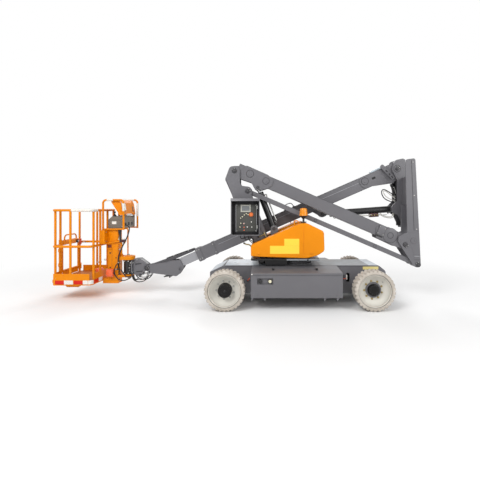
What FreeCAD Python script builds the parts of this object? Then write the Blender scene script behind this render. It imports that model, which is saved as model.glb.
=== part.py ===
"""Articulating boom lift: a narrow electric machine with a parallelogram riser.

Millimetres. +X runs from the platform end to the tail, +Y away from the side shown
by the walk-round controls, +Z up. Sizes are measured from the slewing axis (x = 0)
on the ground (z = 0), and every solid is moved by CENTRE_X when it is written, so
that the middle of the whole machine stands on the origin.
"""
import FreeCAD, Part
import math
import os

V = FreeCAD.Vector
UP = V(0, 0, 1)
ACROSS = V(0, 1, 0)
ALONG = V(1, 0, 0)

# Clearances
SEAT = 0.3          # between a piece and the face it seats on
PIN_GAP = 0.3       # between a pin and its bore
SIDE_GAP = 8.0      # between plates that pass each other on one pin

# Chassis
WHEELBASE = 2100.0
WIDTH = 1500.0
TYRE_R = 285.0
TYRE_W = 200.0
AXLE = WHEELBASE / 2
RIM_SEAT_R = TYRE_R - 107.0
RIM_WALL = 14.0
DRIVE_STUB_R = 40.0
STEER_STUB_R = 38.0
STUB_TO_SIDE = 45.0     # from a drive's stub end to the tyre's side
DISH = 115.0            # depth of the rims' bolting face behind the tyre's side
LUG_COUNT = 22       # in each of the two rows
LUG_HEIGHT = 16.0
LUG_HALF = 25.0
LUG_LEAN = 14.0     # how far a lug leans round from the side to the middle
FRAME_HALF = WIDTH / 2 - 450.0
FRAME_LOW = 140.0
FRAME_TOP = 570.0
FRAME_LEFT = -AXLE - 277.0
FRAME_RIGHT = AXLE + 300.0
FRAME_WALL = 12.0
BELLY_WALL = 6.0
DRAIN_R = 28.0
SLOT_R = 24.0        # corners of the sight slot in the frame
BOX_LEFT = -AXLE + TYRE_R + 83.0
BOX_RIGHT = AXLE - TYRE_R - 162.0
BOX_OUT = WIDTH / 2 - 35.0
BOX_LOW = 182.0
BOX_LEDGE = 535.0
BOX_WALL = 8.0
KINGPIN_Y = WIDTH / 2 - 280.0
KINGPIN_R = 20.0
STEER_ARM = 110.0
BAR_DROP = 80.0     # track rod under the axle line
EYE_R = 16.0        # bore of the lashing eyes at the ends of the frame
EYE_PLATE = 24.0
LATCH_R = 22.0
SOCKET_X0 = BOX_LEFT + 88
SOCKET_X1 = SOCKET_X0 + 224
SOCKET_Z0 = 376.0
SOCKET_Z1 = SOCKET_Z0 + 86
SOCKET_RECESS = [
    (SOCKET_X0, SOCKET_Z0, 10), (SOCKET_X1, SOCKET_Z0, 10),
    (SOCKET_X1, SOCKET_Z1, 10), (SOCKET_X0, SOCKET_Z1, 10),
]

# Turntable
SLEW_R = 250.0
RING_SPLIT = 612.0
TABLE_LOW = 662.0
TABLE_TOP = 690.0
COVER_Y = 450.0
COVER_ROUND = 18.0
LANE_HALF = 140.0   # half the open lane between the two covers

# Lanes: the riser works at RISER_Y, the upper boom beside it at BOOM_Y
RISER_Y = -140.0
BOOM_Y = 200.0

# Riser parallelogram, pins A B on the upright and C D on the post
PIN_A = (-957.0, 2015.0)
PIN_C = (1663.0, 885.0)
LINK_DX = 200.0
LINK_DZ = -310.0
PIN_B = (PIN_A[0] + LINK_DX, PIN_A[1] + LINK_DZ)
PIN_D = (PIN_C[0] + LINK_DX, PIN_C[1] + LINK_DZ)
RISER_HALF = 90.0
RISER_LOW = -41.0
RISER_HIGH = 141.0
RISER_WALL = 10.0
PLATE = 12.0
EAR = 20.0
PIN_R = 32.0
TIE_DEPTH = 70.0
TIE_BAR = 20.0
TIE_HALF = 92.0
TIE_BOSS_R = 48.0

# Base pins of the cylinders
RISER_EYE_R = 24.0
LIFT_EYE_R = 26.0
LEVEL_EYE_R = 12.0
NOSE_PIN_R = 20.0

# Riser cylinder, base pin H on the turntable and eye J on the riser
PIN_H = (-351.0, 1126.0)
PIN_J = (-600.0, 1763.0)

# Upper boom, pivot E on the post
PIN_E = (1679.0, 2091.0)
BOOM_DEG = 23.5
FLY_SHOWS = 298.4       # bare length of the inner tube when stowed
BOOM_HALF_W = 80.0
BOOM_HALF_H = 105.0
BOOM_WALL = 8.0
GUIDE_STAND = 48.0      # from the boom's head plate to the outside of the hose guide
FLY_HALF_W = 60.0
FLY_HALF_H = 70.0
FLY_WALL = 8.0
FLY_TAIL = 700.0
PIN_F = (1653.0, 1430.0)
PIN_G = (464.0, 1344.0)

# Levelling: master cylinder M N at the post, slave cylinder S K at the nose
MASTER_REACH = 130.0    # pin M along the upper boom from E
MASTER_DROP = 165.0     # and below the boom's centre line
PIN_N = (1727.0, 1525.0)
PIN_P = (-2444.0, 453.0)
PIN_S = (-1902.0, 440.0)
PIN_K = (-2566.0, 336.0)
NOSE_HALF = 80.0
NOSE_END = (-1890.0, 540.0)

# Platform
ROTATOR = (-2781.0, BOOM_Y)
ROTATOR_R = 75.0
ROTATOR_LOW = 346.0
ROTATOR_TOP = 582.0
BASKET_LEFT = -3817.0
BASKET_RIGHT = -3177.0
BASKET_NEAR = -210.0
BASKET_FAR = 620.0
BASKET_LOW = 240.0
FLOOR_TOP = 320.0
TOE_TOP = 420.0
MID_RAIL = 842.0
TOP_RAIL = 1409.0
TUBE_R = 19.0
RAIL_LEFT = BASKET_LEFT + TUBE_R
RAIL_RIGHT = BASKET_RIGHT - TUBE_R
RAIL_NEAR = BASKET_NEAR + TUBE_R
RAIL_FAR = BASKET_FAR - TUBE_R
RAIL_BEND = 60.0
MIDDLE_POST_X = -3520.0
CARRIER_TOP = 1084.0
GUARD_R = 16.0
GUARD_BAR_R = 13.0
GUARD_BAR_Z = CARRIER_TOP + SEAT + GUARD_BAR_R
CONSOLE_LOW = GUARD_BAR_Z + GUARD_BAR_R + SEAT
POST_R = 17.5
GATE_Y = 0.0
GATE_TOP = 930.0
HINGE_POST_R = 24.0
HINGE_WALL = 8.0
COVER_HINGE = (-2836.0, 1331.0)
HINGE_PIN_R = 6.0
CONSOLE_LEFT = BASKET_RIGHT + 87.0
CONSOLE_RIGHT = COVER_HINGE[0] - 14.0
CONSOLE_TOP = COVER_HINGE[1] - 26.0
CONSOLE_NEAR = 131.0
CONSOLE_FAR = 619.0
GUARD_NEAR = 92.0
GUARD_FAR = 660.0
GUARD_RIGHT = COVER_HINGE[0] + 18.0
COLUMN_LEFT = BASKET_RIGHT + 77.0
COLUMN_RIGHT = ROTATOR[0] - 140.0

# Control line of the platform, from the console's gland to the carrier's lower bracket
HOSE_R = 10.0
HOSE_BEND = 80.0
HOSE_ROUTE = [
    (-2836.0, 150.0, 1165.0), (-2736.0, 150.0, 1165.0), (-2752.0, 122.0, 1000.0),
    (-2828.0, 86.0, 830.0), (-2900.0, 76.0, 650.0), (-2910.0, 104.0, 500.0),
    (-2905.0, 130.0, 425.0), (-2905.0, 130.0, 341.0),
]

# Beacon on the near cover
BEACON_X = 93.0
BEACON_Y = -350.0
BEACON_BASE = 1226.0

# Walk-round control box
CONTROL_X0 = -985.0
CONTROL_X1 = -571.0
CONTROL_Y0 = -470.0
CONTROL_Y1 = -290.0
CONTROL_Z0 = 1042.0
CONTROL_Z1 = 1588.0

OUTER_LEFT = BASKET_LEFT + TUBE_R - HINGE_POST_R - HINGE_WALL
OUTER_RIGHT = PIN_D[0] + TIE_BOSS_R
CENTRE_X = -(OUTER_LEFT + OUTER_RIGHT) / 2

PLANES = {
    "xz": (lambda a, b, c: V(a, c, b), ACROSS),
    "yz": (lambda a, b, c: V(c, a, b), ALONG),
    "xy": (lambda a, b, c: V(a, b, c), UP),
}


def path(corners, closed):
    """Wire of straight runs; each corner is (point, radius) and is rounded by its radius."""
    count = len(corners)
    runs = []
    for i, (point, radius) in enumerate(corners):
        at_end = not closed and i in (0, count - 1)
        if radius <= 0 or at_end:
            runs.append((point, None, point))
            continue
        back = (corners[i - 1][0] - point).normalize()
        ahead = (corners[(i + 1) % count][0] - point).normalize()
        half = back.getAngle(ahead) / 2
        reach = radius / math.tan(half)
        middle = (back + ahead).normalize() * (radius / math.sin(half) - radius)
        runs.append((point + back * reach, point + middle, point + ahead * reach))
    edges = []
    for i, (start, middle, end) in enumerate(runs):
        if middle is not None:
            edges.append(Part.Arc(start, middle, end).toShape())
        if closed or i + 1 < count:
            following = runs[(i + 1) % count][0]
            if end.distanceToPoint(following) > 1e-6:
                edges.append(Part.LineSegment(end, following).toShape())
    return Part.Wire(edges)


def prism(plane, points, low, high):
    """Solid between low and high on the plane's normal; points are (a, b) or (a, b, radius)."""
    place, normal = PLANES[plane]
    corners = []
    for a, b, *radius in points:
        corners.append((place(a, b, low), radius[0] if radius else 0))
    return Part.Face(path(corners, True)).extrude(normal * (high - low))


def block(x0, x1, y0, y1, z0, z1):
    return Part.makeBox(x1 - x0, y1 - y0, z1 - z0, V(x0, y0, z0))


def drum(base, axis, radius, length):
    return Part.makeCylinder(radius, length, base, axis)


def pin(at, y0, y1, radius):
    """Cylinder across the machine at the side-view place (x, z)."""
    return drum(V(at[0], y0, at[1]), ACROSS, radius, y1 - y0)


def ring(at, y0, y1, radius, bore):
    return pin(at, y0, y1, radius).cut(pin(at, y0 - 1, y1 + 1, bore))


def fuse(*solids):
    """One solid of pieces that touch or overlap."""
    return solids[0].fuse(list(solids[1:])).removeSplitter()


def twin(maker, *halves):
    """The same piece on both sides, made by maker(side)."""
    return Part.makeCompound([maker(side) for side in halves or (-1, 1)])


def bar(p, q, low, high, y0, y1):
    """Straight bar from p to q in side view, between two offsets from its pin line."""
    along = V(q[0] - p[0], 0, q[1] - p[1]).normalize()
    above = V(-along.z, 0, along.x)
    if above.z < 0:
        above = -above
    ends = [V(p[0], y0, p[1]), V(q[0], y0, q[1])]
    corners = [ends[0] + above * low, ends[1] + above * low]
    corners += [ends[1] + above * high, ends[0] + above * high]
    face = Part.Face(Part.makePolygon(corners + corners[:1]))
    return face.extrude(ACROSS * (y1 - y0))


def spot(p, q, reach, above=0.0):
    """Side-view place at a distance from p towards q, and so far above that line."""
    length = math.hypot(q[0] - p[0], q[1] - p[1])
    dx = (q[0] - p[0]) / length
    dz = (q[1] - p[1]) / length
    rise = above if dx > 0 else -above
    return (p[0] + dx * reach - dz * rise, p[1] + dz * reach + dx * rise)


def tube_bar(points, radius, bend):
    """Round bar along points, with its inner corners bent."""
    spine = path([(V(*point), bend) for point in points], False)
    start = V(*points[0])
    heading = (V(*points[1]) - start).normalize()
    section = Part.Wire(Part.makeCircle(radius, start, heading))
    return spine.makePipeShell([section], True, True)


def length_between(p, q):
    return math.hypot(q[0] - p[0], q[1] - p[1])


# Chassis

def chassis_frame():
    left, right, low, top = FRAME_LEFT, FRAME_RIGHT, FRAME_LOW, FRAME_TOP
    wall = FRAME_WALL
    side = [
        (left, low + 60), (left + 60, low), (right - 60, low), (right, low + 60),
        (right, top - 85, 60), (right - 105, top, 60), (left + 211, top), (left, top - 101),
    ]
    inner = [
        (left + wall, low - 1), (right - wall, low - 1), (right - wall, top - 90, 55),
        (right - 108, top - wall, 55), (left + 213, top - wall), (left + wall, top - 109),
    ]
    shell = prism("xz", side, -FRAME_HALF, FRAME_HALF)
    shell = shell.cut(prism("xz", inner, -FRAME_HALF + wall, FRAME_HALF - wall))
    bar_x, bar_z = AXLE + STEER_ARM, TYRE_R - BAR_DROP
    bar_slot = [
        (bar_x - 28, bar_z - 29, 20), (bar_x + 28, bar_z - 29, 20),
        (bar_x + 28, bar_z + 29, 20), (bar_x - 28, bar_z + 29, 20),
    ]
    ribs = [block(x, x + wall, -FRAME_HALF + wall, FRAME_HALF - wall, low + 40, top - wall)
            for x in (-600.0, 0.0, 600.0)]
    ribs.append(block(left + wall, right - wall, -wall / 2, wall / 2, low + 40, top - 100))
    belly = block(left + 60, right - 60, -FRAME_HALF + wall - 1, FRAME_HALF - wall + 1, low, low + BELLY_WALL)
    eyes = [lashing_eye(end, side) for end in (-1, 1) for side in (-1, 1)]
    frame = fuse(shell, belly, *ribs, *eyes)
    for x in (-900.0, -300.0, 300.0, 900.0):
        for y in (-FRAME_HALF / 2, FRAME_HALF / 2):
            frame = frame.cut(drum(V(x, y, low - 1), UP, DRAIN_R, BELLY_WALL + 2))
    slot_left, slot_right = AXLE - 306, AXLE - 249
    sight_slot = [
        (slot_left, 321, SLOT_R), (slot_right, 321, SLOT_R),
        (slot_right, 456, SLOT_R), (slot_left, 456, SLOT_R),
    ]
    frame = frame.cut(prism("xz", sight_slot, -FRAME_HALF - 1, -FRAME_HALF + wall + 1))
    return frame.cut(prism("xz", bar_slot, -FRAME_HALF - 1, FRAME_HALF + 1))


def lashing_eye(end, side):
    """Eye plate that the machine is tied down and lifted by."""
    face = FRAME_RIGHT if end > 0 else FRAME_LEFT
    x0, x1 = sorted((face - end * 2, face + end * 62))
    middle = side * (FRAME_HALF - 120)
    outline = [(x0, 215), (x1, 215, 30), (x1, 295, 30), (x0, 295)]
    plate = prism("xz", outline, middle - EYE_PLATE / 2, middle + EYE_PLATE / 2)
    hole = pin((face + end * 30, 255), middle - EYE_PLATE, middle + EYE_PLATE, EYE_R)
    return plate.cut(hole)


def side_box(side):
    """Battery box with a sloped lid, a rounded ledge, feet, latches and a socket recess."""
    inner = FRAME_HALF + SEAT
    section = [
        (inner, BOX_LOW), (BOX_OUT, BOX_LOW, 12), (BOX_OUT, BOX_LEDGE, 22),
        (BOX_OUT - 60, BOX_LEDGE + 4, 10), (inner, FRAME_TOP - 2),
    ]
    wall = BOX_WALL
    hollow = [
        (inner + wall, BOX_LOW + wall), (BOX_OUT - wall, BOX_LOW + wall, 6),
        (BOX_OUT - wall, BOX_LEDGE - wall, 14), (BOX_OUT - 60, BOX_LEDGE - 5, 8),
        (inner + wall, FRAME_TOP - 2 - wall),
    ]
    flip = [[(side * y, z, *r) for y, z, *r in points] for points in (section, hollow)]
    body = prism("yz", flip[0], BOX_LEFT, BOX_RIGHT)
    body = body.cut(prism("yz", flip[1], BOX_LEFT + wall, BOX_RIGHT - wall))
    outward = ACROSS * side
    face = side * BOX_OUT
    ledge0, ledge1 = sorted((face - side * 14, face + side * 7))
    ledge = prism("xz", [
        (BOX_LEFT + 12, BOX_LEDGE - 27, 12), (BOX_RIGHT - 12, BOX_LEDGE - 27, 12),
        (BOX_RIGHT - 12, BOX_LEDGE - 3, 11), (BOX_LEFT + 12, BOX_LEDGE - 3, 11),
    ], ledge0, ledge1)
    pieces = [body, ledge]
    for x in (BOX_LEFT + 22, BOX_LEFT + 190, BOX_RIGHT - 246, BOX_RIGHT - 64):
        y0, y1 = sorted((face - side * 10, face - side * 60))
        pieces.append(block(x - 14, x + 14, y0, y1, BOX_LOW - 16, BOX_LOW + 1))
    for x in (BOX_LEFT + 314, BOX_RIGHT - 341):
        pieces.append(drum(V(x, face - side * 215, BOX_LEDGE + 10), UP, LATCH_R, 17))
    body = fuse(*pieces)
    if side < 0:
        recess = prism("xz", SOCKET_RECESS, face - 1, face + 26)
        pocket = prism("xz", [(x, z, 12) for x, z in (
            (SOCKET_X0 - 5, SOCKET_Z0 - 5), (SOCKET_X1 + 5, SOCKET_Z0 - 5),
            (SOCKET_X1 + 5, SOCKET_Z1 + 5), (SOCKET_X0 - 5, SOCKET_Z1 + 5))], face, face + 32)
        sockets = [drum(V(x, face + 31, (SOCKET_Z0 + SOCKET_Z1) / 2), outward, 24, 26)
                   for x in (SOCKET_X0 + 44, SOCKET_X1 - 44)]
        body = fuse(fuse(body, pocket).cut(recess), *sockets)
    return body


def batteries():
    def pack(side):
        y0, y1 = sorted((side * (FRAME_HALF + 60), side * (BOX_OUT - 50)))
        return block(BOX_LEFT + 80, BOX_RIGHT - 80, y0, y1, BOX_LOW + BOX_WALL, 470)
    return twin(pack)


def drive_units():
    """Planetary drives flanged to the frame, one in each wheel at the platform end."""
    hub_face = WIDTH / 2 - DISH - RIM_WALL - FRAME_HALF

    def unit(side):
        at = V(-AXLE, side * FRAME_HALF, TYRE_R)
        axis = ACROSS * side
        return fuse(
            drum(at, axis, 125, 18),
            drum(at, axis, 98, hub_face - 131),
            drum(at, axis, 112, 60),
            drum(at + axis * (hub_face - 131), axis, 85, 45),
            drum(at + axis * (hub_face - 86), axis, DRIVE_STUB_R,
                 WIDTH / 2 - STUB_TO_SIDE - FRAME_HALF - hub_face + 86),
        )
    return twin(unit)


def steer_axle():
    """Forked brackets on the frame with the kingpins, at the tail end."""
    def fork(side):
        middle = AXLE
        z = TYRE_R
        y0, y1 = sorted((side * FRAME_HALF, side * (KINGPIN_Y + 45)))
        root0, root1 = sorted((side * FRAME_HALF, side * (KINGPIN_Y - 74)))
        arms = []
        for low in (z - 92, z + 70):
            end = side * (KINGPIN_Y + 45)
            outline = [
                (middle - 75, side * FRAME_HALF), (middle + 75, side * FRAME_HALF),
                (middle + 48, end, 40), (middle - 48, end, 40),
            ]
            arms.append(prism("xy", outline, low, low + 22))
        root = block(middle - 55, middle + 55, root0, root1, z - 92, z + 92)
        kingpin = drum(V(middle, side * KINGPIN_Y, z - 100), UP, KINGPIN_R, 200)
        return fuse(root, *arms, kingpin)
    return twin(fork)


def steer_knuckle(side):
    """Kingpin housing with its stub axle and steering arm."""
    middle = AXLE
    z = TYRE_R
    arm_y = side * KINGPIN_Y
    housing = drum(V(middle, arm_y, z - 69), UP, 46, 138)
    stub = drum(V(middle, arm_y, z), ACROSS * side, STEER_STUB_R, WIDTH / 2 - DISH - KINGPIN_Y)
    flange = drum(V(middle, side * (KINGPIN_Y + 40), z), ACROSS * side, 62, 22)
    outline = [
        (middle - 30, arm_y - 34), (middle + STEER_ARM, arm_y - 26, 25),
        (middle + STEER_ARM + 24, arm_y, 20), (middle + STEER_ARM, arm_y + 26, 25),
        (middle - 30, arm_y + 34),
    ]
    arm = prism("xy", outline, z - 68, z - 50)
    bore = drum(V(middle, arm_y, z - 80), UP, KINGPIN_R + PIN_GAP, 160)
    return fuse(housing, stub, flange, arm).cut(bore)


def steer_bar():
    """Track rod under the two steering arms."""
    x = AXLE + STEER_ARM
    z = TYRE_R - BAR_DROP
    bar_rod = drum(V(x, -KINGPIN_Y, z), ACROSS, 10, 2 * KINGPIN_Y)
    eyes = [drum(V(x, side * KINGPIN_Y, z - 12), UP, 26, 24) for side in (-1, 1)]
    return fuse(bar_rod, *eyes)


def slew_ring():
    ring_low = drum(V(0, 0, FRAME_TOP), UP, SLEW_R, RING_SPLIT - SEAT - FRAME_TOP)
    flange = drum(V(0, 0, FRAME_TOP), UP, SLEW_R + 22, 7)
    return fuse(ring_low, flange).cut(drum(V(0, 0, FRAME_TOP - 1), UP, 130, 90))


# Wheels

def tyre(x, side):
    """Solid tyre: a many-sided carcass with two staggered rows of lugs and a round seat."""
    half = TYRE_W / 2
    axle = V(x, side * (WIDTH / 2 - half), TYRE_R)
    pitch = 360 / LUG_COUNT
    crest = TYRE_R - LUG_HEIGHT
    side_corners = []
    for i in range(LUG_COUNT):
        angle = math.radians(pitch * (i + 0.5))
        side_corners.append(axle + V(crest * math.sin(angle), -half, -crest * math.cos(angle)))
    side_face = Part.Face(Part.makePolygon(side_corners + side_corners[:1]))
    carcass = side_face.extrude(ACROSS * TYRE_W)
    lugs = []
    # the far row is half a pitch on and stands back a little
    for hand, stagger, top in ((-1, 0.0, TYRE_R), (1, 0.5, TYRE_R - 1.2)):
        for i in range(LUG_COUNT):
            lugs.append(tyre_lug(axle, hand, pitch * (i + stagger), top))
    seat = drum(axle - ACROSS * (half + 1), ACROSS, RIM_SEAT_R, TYRE_W + 2)
    return carcass.fuse(lugs).cut(seat)


def tyre_lug(axle, hand, turn, top):
    """One lug, at the bottom of the tyre and then turned; it reaches from shoulder to tread."""
    half = TYRE_W / 2
    # across the tyre, reach from the axle
    outline = [
        (hand * (half - 1), top - 58), (hand * (half - 1), top - 22), (hand * (half - 14), top),
        (hand * 5, top), (hand * 5, top - LUG_HEIGHT - 10),
    ]
    sides = []
    for end in (-1, 1):
        corners = []
        for y, reach in outline:
            slant = LUG_LEAN * (1 - abs(y) / half)
            corners.append(axle + V(end * LUG_HALF + slant, y, -reach))
        sides.append(corners)
    faces = [Part.Face(Part.makePolygon(corners + corners[:1])) for corners in sides]
    for i in range(len(outline)):
        j = (i + 1) % len(outline)
        quad = [sides[0][i], sides[0][j], sides[1][j], sides[1][i]]
        faces.append(Part.Face(Part.makePolygon(quad + quad[:1])))
    block_lug = Part.Solid(Part.Shell(faces))
    if block_lug.Volume < 0:
        block_lug.reverse()
    block_lug.rotate(axle, ACROSS, turn)
    return block_lug


def prism_face(section, x):
    """Face in the upright plane of the axle; section is (y, radius from the axle, corner)."""
    corners = [(V(x, y, TYRE_R + r), corner) for y, r, corner in section]
    return Part.Face(path(corners, True))


def rim(x, side, hub_r, hub_out, bore, bore_end):
    """Dished rim; the hub stands out to hub_out and runs on the stub axle."""
    half = TYRE_W / 2
    middle = side * (WIDTH / 2 - half)
    outer = side * (WIDTH / 2)
    seat = RIM_SEAT_R - SEAT
    disc = outer - side * DISH
    section = [
        (middle - side * (half - 14), seat), (middle - side * (half - 14), RIM_SEAT_R - 20),
        (disc - side * RIM_WALL, RIM_SEAT_R - 28), (disc - side * RIM_WALL, bore), (side * bore_end, bore),
        (side * bore_end, 0.001), (outer - side * hub_out, 0.001),
        (outer - side * hub_out, hub_r - 12), (outer - side * (hub_out + 12), hub_r),
        (disc, hub_r), (disc, RIM_SEAT_R - 30), (outer - side * 30, RIM_SEAT_R - 18),
        (outer - side * 14, RIM_SEAT_R - 12),
        (outer - side * 14, seat),
    ]
    corners = [(y, r, 0) for y, r in section]
    return prism_face(corners, x).revolve(V(x, 0, TYRE_R), ACROSS, 360)


# Turntable

def turntable_plate():
    plate = prism("xy", [
        (-700, -430, 60), (330, -430, 120), (330, 430, 120), (-700, 430, 60),
    ], TABLE_LOW, TABLE_TOP)
    upper_ring = drum(V(0, 0, RING_SPLIT), UP, SLEW_R - 6, TABLE_LOW - RING_SPLIT + 1)
    drive = block(-590, -258, -150, 150, FRAME_TOP + 9, TABLE_LOW + 1)
    upper_ring = upper_ring.cut(drum(V(0, 0, RING_SPLIT - 1), UP, 130, 60))
    lugs = [riser_cylinder_lug(side) for side in (-1, 1)]
    return fuse(plate, upper_ring, drive, *lugs)


def riser_cylinder_lug(side):
    """Tall plate that carries the base pin of the riser cylinder."""
    x, z = PIN_H
    outline = [
        (-318, TABLE_TOP - 1), (-130, TABLE_TOP - 1), (x + 62, z - 40, 40),
        (x + 62, z + 52, 50), (x - 52, z + 52, 50), (x - 52, z - 60, 30),
    ]
    y0, y1 = sorted((RISER_Y + side * 62, RISER_Y + side * 78))
    plate = prism("xz", outline, y0, y1)
    cap0, cap1 = sorted((RISER_Y, RISER_Y + side * 90))
    return fuse(plate, pin(PIN_H, cap0, cap1, RISER_EYE_R))


def upright():
    """Leaning box that carries the riser's pins A and B between two ear plates."""
    inner = RISER_HALF + PLATE + SIDE_GAP
    ear = [
        (-564, TABLE_TOP), (-331, TABLE_TOP), (PIN_B[0] + 64, PIN_B[1] - 66, 55),
        (PIN_B[0] + 62, PIN_B[1] + 62, 58), (-874, 1790, 60), (-875, 2085, 70),
        (PIN_A[0] - 70, PIN_A[1] + 72, 60), (-1101, 1886, 30), (-979, 1613),
    ]
    pieces = []
    for side in (-1, 1):
        y0, y1 = sorted((RISER_Y + side * inner, RISER_Y + side * (inner + EAR)))
        pieces.append(prism("xz", ear, y0, y1))
    back = [
        (-564, TABLE_TOP), (-549, TABLE_TOP), (-964, 1613), (-1086, 1886),
        (-1078, 1920), (-1093, 1920), (-1101, 1886), (-979, 1613),
    ]
    front = [
        (-347, TABLE_TOP), (-331, TABLE_TOP), (-758, 1520), (-774, 1520),
    ]
    for web in (back, front):
        pieces.append(prism("xz", web, RISER_Y - inner, RISER_Y + inner))
    for at in (PIN_A, PIN_B):
        pieces.append(pin(at, RISER_Y - inner - EAR - 6, RISER_Y + inner + EAR + 6, PIN_R))
    return fuse(*pieces)


COVER_OUTLINE = [
    (-697, 739, 20), (-697, 897, 70), (30, 1216, 120), (133, 1222, 60),
    (392, 1095, 60), (401, 838, 50), (293, 749, 60), (114, TABLE_TOP + SEAT, 20),
    (-560, TABLE_TOP + SEAT, 20),
]


def cover(y_open, y_closed):
    """Moulded hood over the machinery on one side of the lane, its outer rim rounded."""
    low, high = sorted((y_open, y_closed))
    body = prism("xz", COVER_OUTLINE, low, high)
    rim = [edge for edge in body.Edges
           if all(abs(vertex.Point.y - y_closed) < 1e-6 for vertex in edge.Vertexes)]
    return body.makeFillet(COVER_ROUND, rim)


def cover_near():
    pad = drum(V(BEACON_X, BEACON_Y, 1180), UP, 50, BEACON_BASE - SEAT - 1180)
    return fuse(cover(RISER_Y - LANE_HALF, -COVER_Y), pad)


def counterweight():
    return prism("xz", [
        (40, TABLE_TOP + SEAT), (200, TABLE_TOP + SEAT), (300, 790, 30),
        (370, 860, 30), (366, 1040, 30), (130, 1050, 30), (40, 1050, 20),
    ], RISER_Y - LANE_HALF + SEAT, RISER_Y + LANE_HALF - SEAT)


def control_box():
    """Open-fronted box with a visor, a panel set back inside and a bracket to the upright."""
    x0, x1, y0, y1, z0, z1 = CONTROL_X0, CONTROL_X1, CONTROL_Y0, CONTROL_Y1, CONTROL_Z0, CONTROL_Z1
    wall = 6.0
    shell = prism("xz", [(x0, z0, 25), (x1, z0, 25), (x1, z1, 25), (x0, z1, 25)], y0, y1)
    recess = prism("xz", [
        (x0 + wall, z0 + wall, 20), (x1 - wall, z0 + wall, 20),
        (x1 - wall, z1 - wall, 20), (x0 + wall, z1 - wall, 20),
    ], y0 - 1, y0 + 90)
    inner = RISER_HALF + PLATE + SIDE_GAP + EAR
    arm = block(-760, -700, y1 - 1, RISER_Y - inner, 1240, 1330)
    return fuse(shell.cut(recess), arm)


def beacon():
    x, y, base = BEACON_X, BEACON_Y, BEACON_BASE
    stem = drum(V(x, y, base), UP, 26, 1330 - base)
    foot = drum(V(x, y, base), UP, 45, 12)
    lens = Part.makeCone(63, 54, 100, V(x, y, 1330), UP)
    cap = Part.makeCone(54, 30, 15, V(x, y, 1430), UP)
    return fuse(stem, foot), fuse(lens, cap)


# Riser

def lower_boom():
    """Box-section boom with head plates at the upright and end plates at the post."""
    length = length_between(PIN_A, PIN_C)
    y0, y1 = RISER_Y - RISER_HALF, RISER_Y + RISER_HALF
    start = spot(PIN_A, PIN_C, 30)
    end = spot(PIN_A, PIN_C, length - 40)
    box = bar(start, end, RISER_LOW, RISER_HIGH, y0, y1)
    hollow = bar(spot(PIN_A, PIN_C, 100), spot(PIN_A, PIN_C, length + 10),
                 RISER_LOW + RISER_WALL, RISER_HIGH - RISER_WALL, y0 + RISER_WALL, y1 - RISER_WALL)
    head = [
        (PIN_A[0] - 68, PIN_A[1] - 62, 50), (PIN_A[0] - 62, 2092, 60), (-757, 2096, 30),
        (-442, 1956, 30), (-360, 1885, 30), (-372, 1800, 60), (-450, 1749, 40),
        (-540, 1720, 30), (-640, 1722, 40), (-703, 1838, 40), (-825, 1879, 30),
    ]
    tail = [
        (1225, 989, 20), (1225, 1150, 20), (1420, 1152, 40), (1640, 1010, 90),
        (PIN_C[0] + 72, PIN_C[1] + 20, 60), (PIN_C[0] + 30, PIN_C[1] - 70, 60), (1540, 842, 40),
    ]
    pieces = [box]
    for side in (-1, 1):
        a0, a1 = sorted((RISER_Y + side * RISER_HALF, RISER_Y + side * (RISER_HALF + PLATE)))
        pieces.append(prism("xz", head, a0, a1))
        pieces.append(prism("xz", tail, a0, a1))
        b0, b1 = sorted((RISER_Y + side * (RISER_HALF + PLATE), RISER_Y + side * (RISER_HALF + PLATE + 5)))
        for at, outer in (((-719, 1974), 52), ((-474, 1862), 47)):
            pieces.append(pin(at, b0, b1, outer))
    for at in (PIN_A, PIN_C):
        pieces.append(pin(at, y0, y1, 62))
    body = fuse(*pieces).cut(hollow)
    reach = RISER_HALF + PLATE + 10
    bosses = [ring(at, y0 + 1, y1 - 1, 62, PIN_R + PIN_GAP) for at in (PIN_A, PIN_C)]
    body = fuse(body, *bosses)
    for at in (PIN_A, PIN_C):
        body = body.cut(pin(at, RISER_Y - reach, RISER_Y + reach, PIN_R + PIN_GAP))
    window = pin((1490, 1030), RISER_Y - reach, RISER_Y + reach, 45)
    pocket = bar(spot(PIN_A, PIN_C, 240), spot(PIN_A, PIN_C, 680), RISER_LOW - 1, RISER_LOW + RISER_WALL + 1,
                 RISER_Y - 60, RISER_Y + 60)
    return body.cut(window).cut(pocket)


def tie_rod():
    """Twin bars either side of the riser cylinder, joined by a boss at each pin."""
    y0, y1 = RISER_Y - TIE_HALF, RISER_Y + TIE_HALF
    half = TIE_DEPTH / 2
    pieces = []
    for low in (y0, y1 - TIE_BAR):
        pieces.append(bar(PIN_B, PIN_D, -half, half, low, low + TIE_BAR))
    for at in (PIN_B, PIN_D):
        pieces.append(pin(at, y0, y1, TIE_BOSS_R))
    length = length_between(PIN_B, PIN_D)
    for share in (0.4, 0.75):
        at = spot(PIN_B, PIN_D, length * share)
        pieces.append(pin(at, y0 + 1, y1 - 1, 24))
    body = fuse(*pieces)
    for at in (PIN_B, PIN_D):
        body = body.cut(pin(at, y0 - 1, y1 + 1, PIN_R + PIN_GAP))
    return body


def post_ear_outline():
    ex, ez = PIN_E
    return [
        (1790, 1120), (1874, 1120), (1817, 2268, 50), (ex - 39, ez + 139, 70), (ex - 89, ez - 11, 70),
        (1680, 1900, 60), (1680, 1560, 40), (1600, 1480, 50), (1600, 1380, 50), (1690, 1330, 40),
    ]


POST_INNER = RISER_HALF + PLATE + SIDE_GAP
POST_NEAR = RISER_Y - POST_INNER - EAR
BOOM_INNER = BOOM_HALF_W + PLATE + SIDE_GAP - 2


POST_RING = (PIN_C[0] + 127, PIN_C[1] + 58)


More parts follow.
